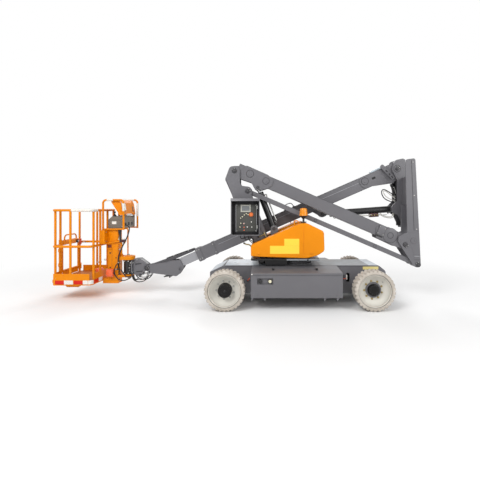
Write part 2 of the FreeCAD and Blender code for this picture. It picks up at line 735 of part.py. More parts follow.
def post_column():
    """Square column between the riser's lane and the upper boom's."""
    column = [(1788, 1150), (1866, 1150), (1822, 1940), (1752, 1940)]
    return prism("xz", column, POST_NEAR + EAR, BOOM_Y + BOOM_INNER)


def post():
    """Leaning post: two plates for the riser's pins C and D, and the column."""
    foot = [
        (1796, 549, 40), (1902, 549, 40), (1877, 1061), (1850, 1500), (1700, 1500),
        (1700, 1075), (1560, 1010, 30), (1554, 930, 30),
    ]
    flank = [
        (1796, 549, 40), (1902, 549, 40), (1877, 1061), (1817, 2210, 30), (1664, 2190, 40),
        (1700, 1075), (1560, 1010, 30), (1554, 930, 30),
    ]
    pieces = [
        prism("xz", flank, POST_NEAR, POST_NEAR + EAR),
        prism("xz", foot, RISER_Y + POST_INNER, RISER_Y + POST_INNER + EAR),
        post_column(),
        ring(POST_RING, POST_NEAR - 6, POST_NEAR + 1, 45, 22),
    ]
    for at in (PIN_C, PIN_D):
        pieces.append(pin(at, POST_NEAR - 6, RISER_Y + POST_INNER + EAR + 6, PIN_R))
    return fuse(*pieces)


def boom_ears():
    """Two plates on the column with the upper boom's pivot pin E through them."""
    column = post_column()

    def ear(side):
        y0, y1 = sorted((BOOM_Y + side * BOOM_INNER, BOOM_Y + side * (BOOM_INNER + EAR)))
        plate = prism("xz", post_ear_outline(), y0, y1)
        return plate.cut(column).cut(pin(PIN_E, y0 - 1, y1 + 1, PIN_R + PIN_GAP))
    reach = BOOM_INNER + EAR + 6
    pivot = pin(PIN_E, BOOM_Y - reach, BOOM_Y + reach, PIN_R)
    return Part.makeCompound([ear(-1), ear(1), pivot])


def post_lugs():
    """Lugs on the column's face with the base pins F and N of two cylinders."""
    column = post_column()
    solids = []
    for at, gap, reach, eye_r in ((PIN_F, 62.0, 62.0, LIFT_EYE_R), (PIN_N, 34.0, 36.0, LEVEL_EYE_R)):
        pieces = []
        for side in (-1, 1):
            y0, y1 = sorted((BOOM_Y + side * gap, BOOM_Y + side * (gap + 12)))
            pieces.append(prism("xz", [
                (at[0] - reach, at[1] - reach, reach * 0.9), (1800, at[1] - reach),
                (1790, at[1] + reach), (at[0] - reach, at[1] + reach, reach * 0.9),
            ], y0, y1).cut(column))
        pieces.append(pin(at, BOOM_Y - gap - 18, BOOM_Y + gap + 18, eye_r))
        solids.append(fuse(*pieces))
    return Part.makeCompound(solids)


# Cylinders

def cylinder_barrel(base, eye, lane, radius, length, half_eye):
    """Barrel with its base eye; hollow from the open gland end."""
    axis = V(eye[0] - base[0], 0, eye[1] - base[1]).normalize()
    foot = V(base[0], lane, base[1])
    body = fuse(
        drum(foot + axis * (radius * 0.7), axis, radius, length - radius * 0.7),
        drum(foot + axis * (length - 40), axis, radius + 5, 40),
        pin(base, lane - half_eye, lane + half_eye, radius * 0.85),
    )
    return body


def cylinder(base, eye, lane, radius, rod_r, length, half_eye, retract, base_pin):
    """Barrel and rod of a hydraulic cylinder, closed, from its base pin to its eye."""
    axis = V(eye[0] - base[0], 0, eye[1] - base[1]).normalize()
    foot = V(base[0], lane, base[1])
    tip = V(eye[0], lane, eye[1])
    barrel = cylinder_barrel(base, eye, lane, radius, length, half_eye)
    bore_start = radius + 30
    barrel = barrel.cut(drum(foot + axis * bore_start, axis, rod_r + SEAT, length - bore_start + 1))
    barrel = barrel.cut(pin(base, lane - half_eye - 1, lane + half_eye + 1, base_pin + PIN_GAP))
    whole = length_between(base, eye)
    rod_start = bore_start + 5 + retract
    rod = fuse(
        drum(foot + axis * rod_start, axis, rod_r, whole - rod_start),
        drum(tip - axis * (rod_r * 2.2), axis, rod_r * 1.35, rod_r * 1.6),
        pin(eye, lane - half_eye, lane + half_eye, rod_r * 1.7),
    )
    return barrel, rod


# Upper boom

def boom_point(reach, above=0.0):
    """Side-view place along the upper boom from its pivot E."""
    angle = math.radians(BOOM_DEG)
    u = (-math.cos(angle), -math.sin(angle))
    w = (-math.sin(angle), math.cos(angle))
    return (PIN_E[0] + u[0] * reach + w[0] * above, PIN_E[1] + u[1] * reach + w[1] * above)


PIN_M = boom_point(MASTER_REACH, -MASTER_DROP)
NOSE_START = length_between(PIN_E, NOSE_END)
BOOM_LENGTH = NOSE_START - FLY_SHOWS


def boom_box(start, end, half_h, half_w):
    return bar(boom_point(start), boom_point(end), -half_h, half_h, BOOM_Y - half_w, BOOM_Y + half_w)


def outer_boom():
    box = boom_box(-60, BOOM_LENGTH, BOOM_HALF_H, BOOM_HALF_W)
    hollow = boom_box(45, BOOM_LENGTH + 1, BOOM_HALF_H - BOOM_WALL, BOOM_HALF_W - BOOM_WALL)
    collar = boom_box(BOOM_LENGTH - 90, BOOM_LENGTH - 10, BOOM_HALF_H + 9, BOOM_HALF_W + 9)
    collar2 = boom_box(BOOM_LENGTH - 330, BOOM_LENGTH - 300, BOOM_HALF_H + 9, BOOM_HALF_W + 9)
    pads = boom_box(BOOM_LENGTH - 60, BOOM_LENGTH, BOOM_HALF_H - 2, BOOM_HALF_W - 2)
    pieces = [box, collar, collar2]
    # along the boom from E, above its centre line, corner
    head_plan = (
        (-90, 60, 60), (-90, -100, 60), (10, -150, 60), (150, -190, 60), (470, -104, 40),
        (640, -84, 90), (660, 92, 70), (-20, 112, 60),
    )
    head = [(*boom_point(along, above), corner) for along, above, corner in head_plan]
    for side in (-1, 1):
        a0, a1 = sorted((BOOM_Y + side * BOOM_HALF_W, BOOM_Y + side * (BOOM_HALF_W + PLATE)))
        pieces.append(prism("xz", head, a0, a1))
        disc0, disc1 = sorted((BOOM_Y + side * (BOOM_HALF_W + PLATE - 1), BOOM_Y + side * (BOOM_HALF_W + PLATE + 5)))
        pieces.append(pin(boom_point(561, 20), disc0, disc1, 55))
    lug_at = PIN_G
    for side in (-1, 1):
        a0, a1 = sorted((BOOM_Y + side * 50, BOOM_Y + side * 64))
        lug = prism("xz", [
            (lug_at[0] - 190, boom_under(lug_at[0] - 190) + 30), (lug_at[0] - 62, lug_at[1] - 20, 50),
            (lug_at[0] - 20, lug_at[1] - 62, 50), (lug_at[0] + 60, lug_at[1] - 30, 50),
            (lug_at[0] + 150, boom_under(lug_at[0] + 150) + 30),
        ], a0, a1)
        pieces.append(lug)
        cap0, cap1 = sorted((BOOM_Y + side * 64, BOOM_Y + side * 70))
        pieces.append(pin(PIN_G, cap0, cap1, 30))
        m0, m1 = sorted((BOOM_Y + side * 34, BOOM_Y + side * 46))
        pieces.append(prism("xz", [
            (PIN_M[0] - 70, boom_under(PIN_M[0] - 70) + 30), (PIN_M[0] - 34, PIN_M[1] - 34, 30),
            (PIN_M[0] + 34, PIN_M[1] - 34, 30), (PIN_M[0] + 50, boom_under(PIN_M[0] + 50) + 30),
        ], m0, m1))
        cap0, cap1 = sorted((BOOM_Y + side * 46, BOOM_Y + side * 52))
        pieces.append(pin(PIN_M, cap0, cap1, 18))
    body = fuse(*pieces).cut(hollow)
    pads = pads.cut(boom_box(BOOM_LENGTH - 70, BOOM_LENGTH + 10, FLY_HALF_H + SEAT, FLY_HALF_W + SEAT))
    body = fuse(body, pads)
    reach = BOOM_HALF_W + PLATE + 5
    pocket = bar(boom_point(46), boom_point(260), -BOOM_HALF_H - 1, -BOOM_HALF_H + BOOM_WALL + 1,
                 BOOM_Y - 32, BOOM_Y + 32)
    return body.cut(pocket).cut(pin(PIN_E, BOOM_Y - reach, BOOM_Y + reach, PIN_R + PIN_GAP))


def boom_under(x):
    """Height of the upper boom's underside at x."""
    slope = math.tan(math.radians(BOOM_DEG))
    return PIN_E[1] - slope * (PIN_E[0] - x) - BOOM_HALF_H / math.cos(math.radians(BOOM_DEG))


def hose_guide():
    """Slotted arm that stands off the boom's head on a bracket and leads the hoses."""
    face = BOOM_Y - BOOM_HALF_W - PLATE
    y0 = face - GUIDE_STAND
    start, end = (1413.0, 2137.0), (1617.0, 1923.0)
    reach = length_between(start, end)
    outline = [
        (*spot(start, end, -10, -32), 24), (*spot(start, end, reach, -30), 29),
        (*spot(start, end, reach, 30), 29), (*spot(start, end, -10, 32), 24),
    ]
    arm = prism("xz", outline, y0, y0 + 8)
    for share in (0.42, 0.66, 0.88):
        slot = bar(spot(start, end, reach * share - 22), spot(start, end, reach * share + 16), -11, 11, y0 - 1, y0 + 9)
        arm = arm.cut(slot)
    bracket = block(start[0] - 4, start[0] + 46, y0 + 7, face - SEAT, 2088, 2132)
    return fuse(arm, bracket)


def inner_boom():
    tube = boom_box(FLY_TAIL, NOSE_START, FLY_HALF_H, FLY_HALF_W)
    hollow = boom_box(FLY_TAIL - 1, NOSE_START - 40, FLY_HALF_H - FLY_WALL, FLY_HALF_W - FLY_WALL)
    pad = boom_box(FLY_TAIL, FLY_TAIL + 80, BOOM_HALF_H - BOOM_WALL - SEAT, BOOM_HALF_W - BOOM_WALL - SEAT)
    return fuse(tube, pad).cut(hollow)


def boom_nose():
    """Two shaped plates welded to the sides of the inner tube."""
    px, pz = PIN_P
    outline = [
        (px - 38, pz + 17, 36), (px + 29, pz + 52, 40), (-2135, 546, 40), (-2068, 574, 30),
        (-1895, 593, 20), (-1836, 468, 30), (-1942, 314, 60), (-2388, 371, 50),
        (px - 38, pz - 33, 36),
    ]

    def plate(side):
        y0, y1 = sorted((BOOM_Y + side * (FLY_HALF_W + SEAT), BOOM_Y + side * NOSE_HALF))
        made = prism("xz", outline, y0, y1)
        for at, radius in ((PIN_P, NOSE_PIN_R), (PIN_S, LEVEL_EYE_R)):
            made = made.cut(pin(at, y0 - 1, y1 + 1, radius + PIN_GAP))
        return made
    return twin(plate)


def nose_pins():
    """Pins P and S with their heads, the web between the plates and the hose clamp under them."""
    solids = []
    for at, radius, head in ((PIN_P, NOSE_PIN_R, 32.0), (PIN_S, LEVEL_EYE_R, 24.0)):
        heads = []
        for side in (-1, 1):
            y0, y1 = sorted((BOOM_Y + side * (NOSE_HALF + SEAT), BOOM_Y + side * (NOSE_HALF + 10)))
            heads.append(pin(at, y0, y1, head))
        shank = pin(at, BOOM_Y - NOSE_HALF - 9, BOOM_Y + NOSE_HALF + 9, radius)
        solids.append(fuse(shank, *heads))
    web_half = FLY_HALF_W
    web = prism("xz", [
        (-2120, 536), (-2080, 556, 20), (-1960, 572), (-1953, 552), (-2070, 540, 20), (-2120, 524),
    ], BOOM_Y - web_half, BOOM_Y + web_half)
    tube_space = boom_box(FLY_TAIL, NOSE_START + SEAT, FLY_HALF_H + SEAT, FLY_HALF_W + 2)
    solids.append(web.cut(tube_space))
    return Part.makeCompound(solids)


# Platform carrier

def basket_knuckle():
    """Levelled bracket on the boom's nose that holds the rotator drum."""
    ear_low, ear_high = FLY_HALF_W - 18, FLY_HALF_W - 2
    ear = [
        (-2700, 350, 10), (-2700, 540, 10), (-2445, 497, 40), (-2400, 453, 40),
        (-2445, 409, 40), (-2530, 372, 30), (PIN_K[0] + 34, PIN_K[1] - 4, 32),
        (PIN_K[0] - 6, PIN_K[1] - 36, 32), (PIN_K[0] - 40, PIN_K[1] - 20, 30), (-2650, 340, 30),
    ]
    pieces = []
    for side in (-1, 1):
        a0, a1 = sorted((BOOM_Y + side * ear_low, BOOM_Y + side * ear_high))
        pieces.append(prism("xz", ear, a0, a1))
    plate = prism("yz", [
        (BOOM_Y - 95, 346, 20), (BOOM_Y + 95, 346, 20), (BOOM_Y + 95, 576, 20), (BOOM_Y - 95, 576, 20),
    ], -2702, -2684)
    body = fuse(plate, *pieces)
    bore_half = FLY_HALF_W + 2
    body = body.cut(pin(PIN_P, BOOM_Y - bore_half, BOOM_Y + bore_half, NOSE_PIN_R + PIN_GAP))
    return body


def rotator():
    """Drum of the platform rotator, flanged to the knuckle."""
    x, y = ROTATOR
    barrel = drum(V(x, y, ROTATOR_LOW), UP, ROTATOR_R, ROTATOR_TOP - ROTATOR_LOW)
    flange = block(x + 40, -2702, y - 80, y + 80, 366, 556)
    return fuse(barrel, flange)


def basket_carrier():
    """Brackets over and under the rotator, the column and the base beam of the basket."""
    x, y = ROTATOR
    left, right = COLUMN_LEFT, COLUMN_RIGHT
    top = prism("xy", [
        (x + 104, y - 96, 90), (x + 104, y + 96, 90), (right, y + 96), (right, y - 96),
    ], ROTATOR_TOP + 5, ROTATOR_TOP + 63)
    bottom = prism("xy", [
        (x + 88, y - 88, 80), (x + 88, y + 88, 80), (right, y + 88), (right, y - 88),
    ], ROTATOR_LOW - 46, ROTATOR_LOW - 5)
    column = prism("xy", [
        (left, y - 70, 12), (right, y - 70, 12), (right, y + 70, 12), (left, y + 70, 12),
    ], BASKET_LOW, CARRIER_TOP)
    beam = block(BASKET_RIGHT, right, y - 70, y + 70, BASKET_LOW - 42, BASKET_LOW + 40)
    sheet = block(BASKET_RIGHT, left + 5, y - 180, y + 180, MID_RAIL + 21, CARRIER_TOP)
    stem_top = drum(V(x, y, ROTATOR_TOP + 0.5), UP, 52, 10)
    stem_low = drum(V(x, y, ROTATOR_LOW - 8), UP, 52, 7.5)
    return fuse(top, bottom, column, beam, sheet, stem_top, stem_low)


def rail_posts(places, low, high):
    return [drum(V(x, y, low), UP, POST_R, high - low) for x, y in places]


def basket_side(y, inward):
    """Long side of the basket: posts, two rails with bent ends and a toe board."""
    turn = RAIL_BEND + 6
    posts = rail_posts([(RAIL_LEFT, y + inward * turn), (MIDDLE_POST_X, y), (RAIL_RIGHT, y + inward * turn)],
                       FLOOR_TOP, TOP_RAIL)
    rails = []
    for z in (MID_RAIL, TOP_RAIL):
        rails.append(tube_bar([
            (RAIL_LEFT, y + inward * turn, z), (RAIL_LEFT, y, z), (RAIL_RIGHT, y, z),
            (RAIL_RIGHT, y + inward * turn, z),
        ], TUBE_R, RAIL_BEND))
    a0, a1 = sorted((y - inward * TUBE_R, y - inward * (TUBE_R - 10)))
    toe = block(BASKET_LEFT + 40, BASKET_RIGHT - 40, a0, a1, FLOOR_TOP, TOE_TOP)
    strip0, strip1 = sorted((y - inward * (TUBE_R - 9), y))
    strip = block(MIDDLE_POST_X - 15, MIDDLE_POST_X + 15, strip0, strip1, FLOOR_TOP, TOE_TOP)
    return fuse(*rails, *posts, toe, strip)


def basket_back():
    """Inner end of the basket, next to the carrier."""
    y0, y1 = RAIL_NEAR + RAIL_BEND + 6 + TUBE_R, RAIL_FAR - RAIL_BEND - 6 - TUBE_R
    post_ys = (BOOM_Y - 120, BOOM_Y + 120)
    rails = [drum(V(RAIL_RIGHT, y0, z), ACROSS, TUBE_R, y1 - y0) for z in (MID_RAIL, TOP_RAIL)]
    posts = rail_posts([(RAIL_RIGHT, y) for y in post_ys], FLOOR_TOP, TOP_RAIL)
    toe = block(BASKET_RIGHT - 10, BASKET_RIGHT, y0, y1, FLOOR_TOP, TOE_TOP)
    strips = [block(BASKET_RIGHT - 20, BASKET_RIGHT - 5, y - 12, y + 12, FLOOR_TOP, TOE_TOP) for y in post_ys]
    return fuse(*rails, *posts, toe, *strips)


def basket_gate_end():
    """Fixed part of the gate end: short rails and the gate's hinge post."""
    y0 = RAIL_NEAR + RAIL_BEND + 6 + TUBE_R
    rails = [drum(V(RAIL_LEFT, y0, z), ACROSS, TUBE_R, GATE_Y - y0) for z in (MID_RAIL, TOP_RAIL)]
    post_thin = drum(V(RAIL_LEFT, GATE_Y, FLOOR_TOP), UP, POST_R, TOP_RAIL - FLOOR_TOP)
    post_thick = drum(V(RAIL_LEFT, GATE_Y, FLOOR_TOP), UP, HINGE_POST_R, GATE_TOP - FLOOR_TOP)
    toe = block(BASKET_LEFT, BASKET_LEFT + 10, y0, GATE_Y - 10, FLOOR_TOP, TOE_TOP)
    return fuse(*rails, post_thin, post_thick, toe)


def basket_floor():
    tray = prism("xy", [
        (BASKET_LEFT, BASKET_NEAR, RAIL_BEND), (BASKET_RIGHT, BASKET_NEAR, RAIL_BEND),
        (BASKET_RIGHT, BASKET_FAR, RAIL_BEND), (BASKET_LEFT, BASKET_FAR, RAIL_BEND),
    ], BASKET_LOW + 40, FLOOR_TOP)
    rim_under = prism("xy", [
        (BASKET_LEFT + 8, BASKET_NEAR + 8, RAIL_BEND - 8), (BASKET_RIGHT - 8, BASKET_NEAR + 8, RAIL_BEND - 8),
        (BASKET_RIGHT - 8, BASKET_FAR - 8, RAIL_BEND - 8), (BASKET_LEFT + 8, BASKET_FAR - 8, RAIL_BEND - 8),
    ], BASKET_LOW, BASKET_LOW + 41)
    under = prism("xy", [
        (BASKET_LEFT + 46, BASKET_NEAR + 46, 20), (BASKET_RIGHT - 46, BASKET_NEAR + 46, 20),
        (BASKET_RIGHT - 46, BASKET_FAR - 46, 20), (BASKET_LEFT + 46, BASKET_FAR - 46, 20),
    ], BASKET_LOW - 1, BASKET_LOW + 40)
    near = BASKET_NEAR + 80
    foot = prism("xz", [
        (MIDDLE_POST_X - 100, BASKET_LOW - 44), (MIDDLE_POST_X + 80, BASKET_LOW - 44),
        (MIDDLE_POST_X + 120, BASKET_LOW), (MIDDLE_POST_X - 140, BASKET_LOW),
    ], near + 10, near + 70)
    beam = block(MIDDLE_POST_X - 148, MIDDLE_POST_X + 128, near, near + 80, BASKET_LOW, BASKET_LOW + 45)
    return fuse(tray, rim_under.cut(under), foot, beam)


def gate():
    """Swing gate with a padded top bar and a bent grab handle."""
    y0, y1 = GATE_Y + 46, RAIL_FAR - RAIL_BEND - 6 - TUBE_R - 24
    x = RAIL_LEFT
    frame = tube_bar([(x, y0, 400), (x, y0, 905), (x, y1, 905), (x, y1, 400)], 16, 50)
    low = drum(V(x, y0, 420), ACROSS, 14, y1 - y0)
    handle = tube_bar([(x, y0 + 60, 905), (x, y0 + 60, 998), (x, y1 - 60, 998), (x, y1 - 60, 905)], 11, 60)
    board = block(x - 5, x + 5, y0 + 10, y1 - 10, FLOOR_TOP + 12, 410)
    hinges = []
    for z in (525.0, 758.0):
        hinges.append(drum(V(x, GATE_Y, z - 25), UP, HINGE_POST_R + HINGE_WALL, 50))
        hinges.append(block(x - 8, x + 8, GATE_Y + HINGE_POST_R + 4, y0, z - 22, z + 22))
    post_space = drum(V(x, GATE_Y, FLOOR_TOP), UP, HINGE_POST_R + PIN_GAP, GATE_TOP)
    return fuse(frame, low, handle, board, *hinges).cut(post_space)


def console():
    """Platform control box on its bracket between the guard hoops."""
    left, right = CONSOLE_LEFT, CONSOLE_RIGHT
    box = prism("xz", [
        (left, CONSOLE_LOW, 15), (right, CONSOLE_LOW, 15), (right, CONSOLE_TOP, 15),
        (left + 60, CONSOLE_TOP, 15), (left, CONSOLE_TOP - 55, 15),
    ], CONSOLE_NEAR, CONSOLE_FAR)
    gland = drum(V(HOSE_ROUTE[0][0] - 15, *HOSE_ROUTE[0][1:]), ALONG, 16, 15)
    hx, hz = COVER_HINGE
    lugs = []
    for y in (CONSOLE_NEAR + 59, CONSOLE_FAR - 71):
        lugs.append(block(right - 1, hx + 10, y, y + 12, hz - 46, hz - 13))
        lugs.append(block(hx - HINGE_PIN_R, hx + 10, y, y + 12, hz - 14, hz + 9))
    hinge_pin = pin(COVER_HINGE, CONSOLE_NEAR + 59, CONSOLE_FAR - 59, HINGE_PIN_R)
    return fuse(box, gland, *lugs, hinge_pin)


def console_hose():
    """Control line from the console down the carrier's near side to its lower bracket."""
    return tube_bar(HOSE_ROUTE, HOSE_R, HOSE_BEND)


def console_guard():
    """Hoops either side of the console, joined across, carried by the basket's back."""
    pieces = []
    for y, top, low in (
        (GUARD_NEAR, 1577.0, CARRIER_TOP + SEAT), (GUARD_FAR, 1590.0, GUARD_BAR_Z - GUARD_R),
    ):
        pieces.append(hoop(y, top, low))
    for x in (CONSOLE_LEFT + 10, CONSOLE_LEFT + 130):
        pieces.append(drum(V(x, GUARD_NEAR, GUARD_BAR_Z), ACROSS, GUARD_BAR_R, GUARD_FAR - GUARD_NEAR))
    return fuse(*pieces)


def hoop(y, top, low):
    left, right = BASKET_RIGHT + GUARD_R + 6, GUARD_RIGHT
    upper = tube_bar([(left, y, low), (left, y, top), (right, y, top), (right, y, low)], GUARD_R, 55)
    lower = drum(V(left, y, GUARD_BAR_Z), ALONG, GUARD_BAR_R - 1, right - left)
    return fuse(upper, lower)


def console_cover():
    """Raised console lid, hinged along the console's outer edge."""
    hx, hz = COVER_HINGE
    profile = [
        (hx - 196, hz + 238, 8), (hx - 64, hz + 247, 20), (hx - 38, hz + 200, 20), (hx - 16, hz + 74, 30),
        (hx - 8, hz + 14, 5), (hx - 26, hz + 14, 5), (hx - 34, hz + 69, 30), (hx - 56, hz + 189, 20),
        (hx - 74, hz + 229, 14), (hx - 196, hz + 222, 5),
    ]
    lid = prism("xz", profile, CONSOLE_NEAR - 6, CONSOLE_FAR + 6)
    cheek = [
        (hx - 196, hz + 238), (hx - 64, hz + 247), (hx - 38, hz + 200), (hx - 16, hz + 74),
        (hx - 7, hz), (hx - 59, hz - 6), (hx - 90, hz + 43), (hx - 196, hz + 211),
    ]
    cheeks = [prism("xz", cheek, y, y + 7) for y in (CONSOLE_NEAR - 13, CONSOLE_FAR + 6)]
    knuckles = []
    for y in (CONSOLE_NEAR + 75, CONSOLE_FAR - 105):
        knuckles.append(pin(COVER_HINGE, y, y + 30, 12))
        knuckles.append(block(hx - 24, hx - 3, y, y + 30, hz + 5, hz + 22))
    return fuse(lid, *cheeks, *knuckles).cut(
        pin(COVER_HINGE, CONSOLE_NEAR - 31, CONSOLE_FAR + 21, HINGE_PIN_R + PIN_GAP))


def moved(shape):
    placed = shape.copy()
    placed.translate(V(CENTRE_X, 0, 0))
    return placed


def all_nodes():
    nodes = {
        "chassis_frame": chassis_frame(),
        "side_box_near": side_box(-1),
        "side_box_far": side_box(1),
        "batteries": batteries(),
        "drive_units": drive_units(),
        "steer_axle": steer_axle(),
        "steer_bar": steer_bar(),
        "slew_ring": slew_ring(),
        "turntable_plate": turntable_plate(),
        "upright": upright(),
        "cover_near": cover_near(),
        "cover_far": cover(RISER_Y + LANE_HALF, COVER_Y),
        "counterweight": counterweight(),
        "control_box": control_box(),
        "lower_boom": lower_boom(),
        "tie_rod": tie_rod(),
        "post": post(),
        "boom_ears": boom_ears(),
        "post_lugs": post_lugs(),
        "outer_boom": outer_boom(),
        "inner_boom": inner_boom(),
        "boom_nose": boom_nose(),
        "nose_pins": nose_pins(),
        "hose_guide": hose_guide(),
        "console_hose": console_hose(),
        "basket_knuckle": basket_knuckle(),
        "rotator": rotator(),
        "basket_carrier": basket_carrier(),
        "basket_floor": basket_floor(),
        "basket_near": basket_side(RAIL_NEAR, 1),
        "basket_far": basket_side(RAIL_FAR, -1),
        "basket_back": basket_back(),
        "basket_gate_end": basket_gate_end(),
        "gate": gate(),
        "console": console(),
        "console_guard": console_guard(),
        "console_cover": console_cover(),
    }
    nodes["beacon_stem"], nodes["beacon"] = beacon()
    for name, side in (("near", -1), ("far", 1)):
        nodes[f"steer_knuckle_{name}"] = steer_knuckle(side)
        nodes[f"tyre_drive_{name}"] = tyre(-AXLE, side)
        nodes[f"rim_drive_{name}"] = rim(
            -AXLE, side, 97, 20, DRIVE_STUB_R + PIN_GAP, WIDTH / 2 - STUB_TO_SIDE + 2)
        nodes[f"tyre_steer_{name}"] = tyre(AXLE, side)
        nodes[f"rim_steer_{name}"] = rim(
            AXLE, side, 79, 54, STEER_STUB_R + PIN_GAP, WIDTH / 2 - DISH + 2)
    cylinders = (
        ("riser_cylinder", PIN_H, PIN_J, RISER_Y, 50.0, 25.0, 600.0, 52.0, 0.0, RISER_EYE_R),
        ("boom_cylinder", PIN_F, PIN_G, BOOM_Y, 55.0, 28.0, 1060.0, 44.0, 0.0, LIFT_EYE_R),
        ("master_cylinder", PIN_N, PIN_M, BOOM_Y, 30.0, 14.0, 335.0, 28.0, 0.0, LEVEL_EYE_R),
        ("slave_cylinder", PIN_S, PIN_K, BOOM_Y, 30.0, 14.0, 340.0, 28.0, 236.0, LEVEL_EYE_R),
    )
    for name, *sizes in cylinders:
        nodes[f"{name}_barrel"], nodes[f"{name}_rod"] = cylinder(*sizes)
    return nodes


def main():
    os.makedirs("parts", exist_ok=True)
    for name, shape in all_nodes().items():
        moved(shape).exportStep(f"parts/{name}.step")


main()
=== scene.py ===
"""Looks of the articulating boom lift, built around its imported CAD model.

Metres, in the frame of the model. Places along the machine are measured from the
middle of the wheelbase, heights from the ground, and +Y leads away from the camera.
"""
import math
from contextlib import contextmanager

import bmesh
import bpy
from mathutils import Matrix, Vector


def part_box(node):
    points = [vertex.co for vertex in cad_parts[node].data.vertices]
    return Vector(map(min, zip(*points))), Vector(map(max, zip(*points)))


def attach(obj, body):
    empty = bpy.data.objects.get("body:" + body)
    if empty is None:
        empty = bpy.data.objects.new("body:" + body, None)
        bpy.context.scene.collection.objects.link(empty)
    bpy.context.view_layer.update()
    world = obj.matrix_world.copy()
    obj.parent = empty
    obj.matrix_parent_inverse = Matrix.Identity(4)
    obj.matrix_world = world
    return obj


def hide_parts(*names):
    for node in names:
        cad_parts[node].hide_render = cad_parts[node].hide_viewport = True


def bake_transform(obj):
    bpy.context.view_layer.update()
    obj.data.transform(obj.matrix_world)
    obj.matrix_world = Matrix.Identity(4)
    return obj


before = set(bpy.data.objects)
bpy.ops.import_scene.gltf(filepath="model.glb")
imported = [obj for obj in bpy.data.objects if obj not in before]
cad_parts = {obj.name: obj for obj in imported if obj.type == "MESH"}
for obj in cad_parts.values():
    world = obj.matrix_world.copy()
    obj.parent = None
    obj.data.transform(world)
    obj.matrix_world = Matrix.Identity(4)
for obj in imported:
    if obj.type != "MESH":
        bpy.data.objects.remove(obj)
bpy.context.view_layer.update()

ALONG = Vector((1, 0, 0))
ACROSS = Vector((0, 1, 0))
UP = Vector((0, 0, 1))
NEAR = -ACROSS


def middle_of(node):
    low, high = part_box(node)
    return (low + high) / 2


DRIVE_AXLE = middle_of("tyre_drive_near")
STEER_AXLE = middle_of("tyre_steer_near")
MID_X = (DRIVE_AXLE.x + STEER_AXLE.x) / 2


def spot(x, y, z):
    """Place from the middle of the wheelbase, the machine's middle plane and the ground."""
    return Vector((MID_X + x, y, z))


# Finishes

def tone(red, green, blue):
    """Linear colour of an 8-bit one."""
    parts = []
    for level in (red, green, blue):
        share = level / 255
        parts.append(share / 12.92 if share <= 0.04045 else ((share + 0.055) / 1.055) ** 2.4)
    return (*parts, 1.0)


GREY = tone(102, 101, 105)
DARK_GREY = tone(66, 65, 69)
LIGHT_GREY = tone(150, 150, 154)
ORANGE = tone(230, 138, 0)
TUBE_ORANGE = tone(226, 134, 0)
CREAM = tone(212, 209, 200)
BLACK = tone(30, 30, 32)
ZINC = tone(176, 176, 172)
DUST = tone(168, 160, 148)


class Level:
    """A shader socket that arithmetic can be written on."""

    def __init__(self, finish, socket):
        self.finish = finish
        self.socket = socket

    def maths(self, operation, *values):
        inputs = dict(enumerate(values))
        return self.finish.add("ShaderNodeMath", {"operation": operation}, inputs)

    def __add__(self, other):
        return self.maths("ADD", self, other)

    __radd__ = __add__

    def __sub__(self, other):
        return self.maths("SUBTRACT", self, other)

    def __rsub__(self, other):
        return self.maths("SUBTRACT", other, self)

    def __mul__(self, other):
        return self.maths("MULTIPLY", self, other)

    __rmul__ = __mul__

    def power(self, exponent):
        return self.maths("POWER", self, exponent)

    def over(self, low, high):
        """0 up to low, 1 from high, and smooth between."""
        inputs = {"Value": self, "From Min": low, "From Max": high}
        settings = {"interpolation_type": "SMOOTHSTEP"}
        return self.finish.add("ShaderNodeMapRange", settings, inputs)


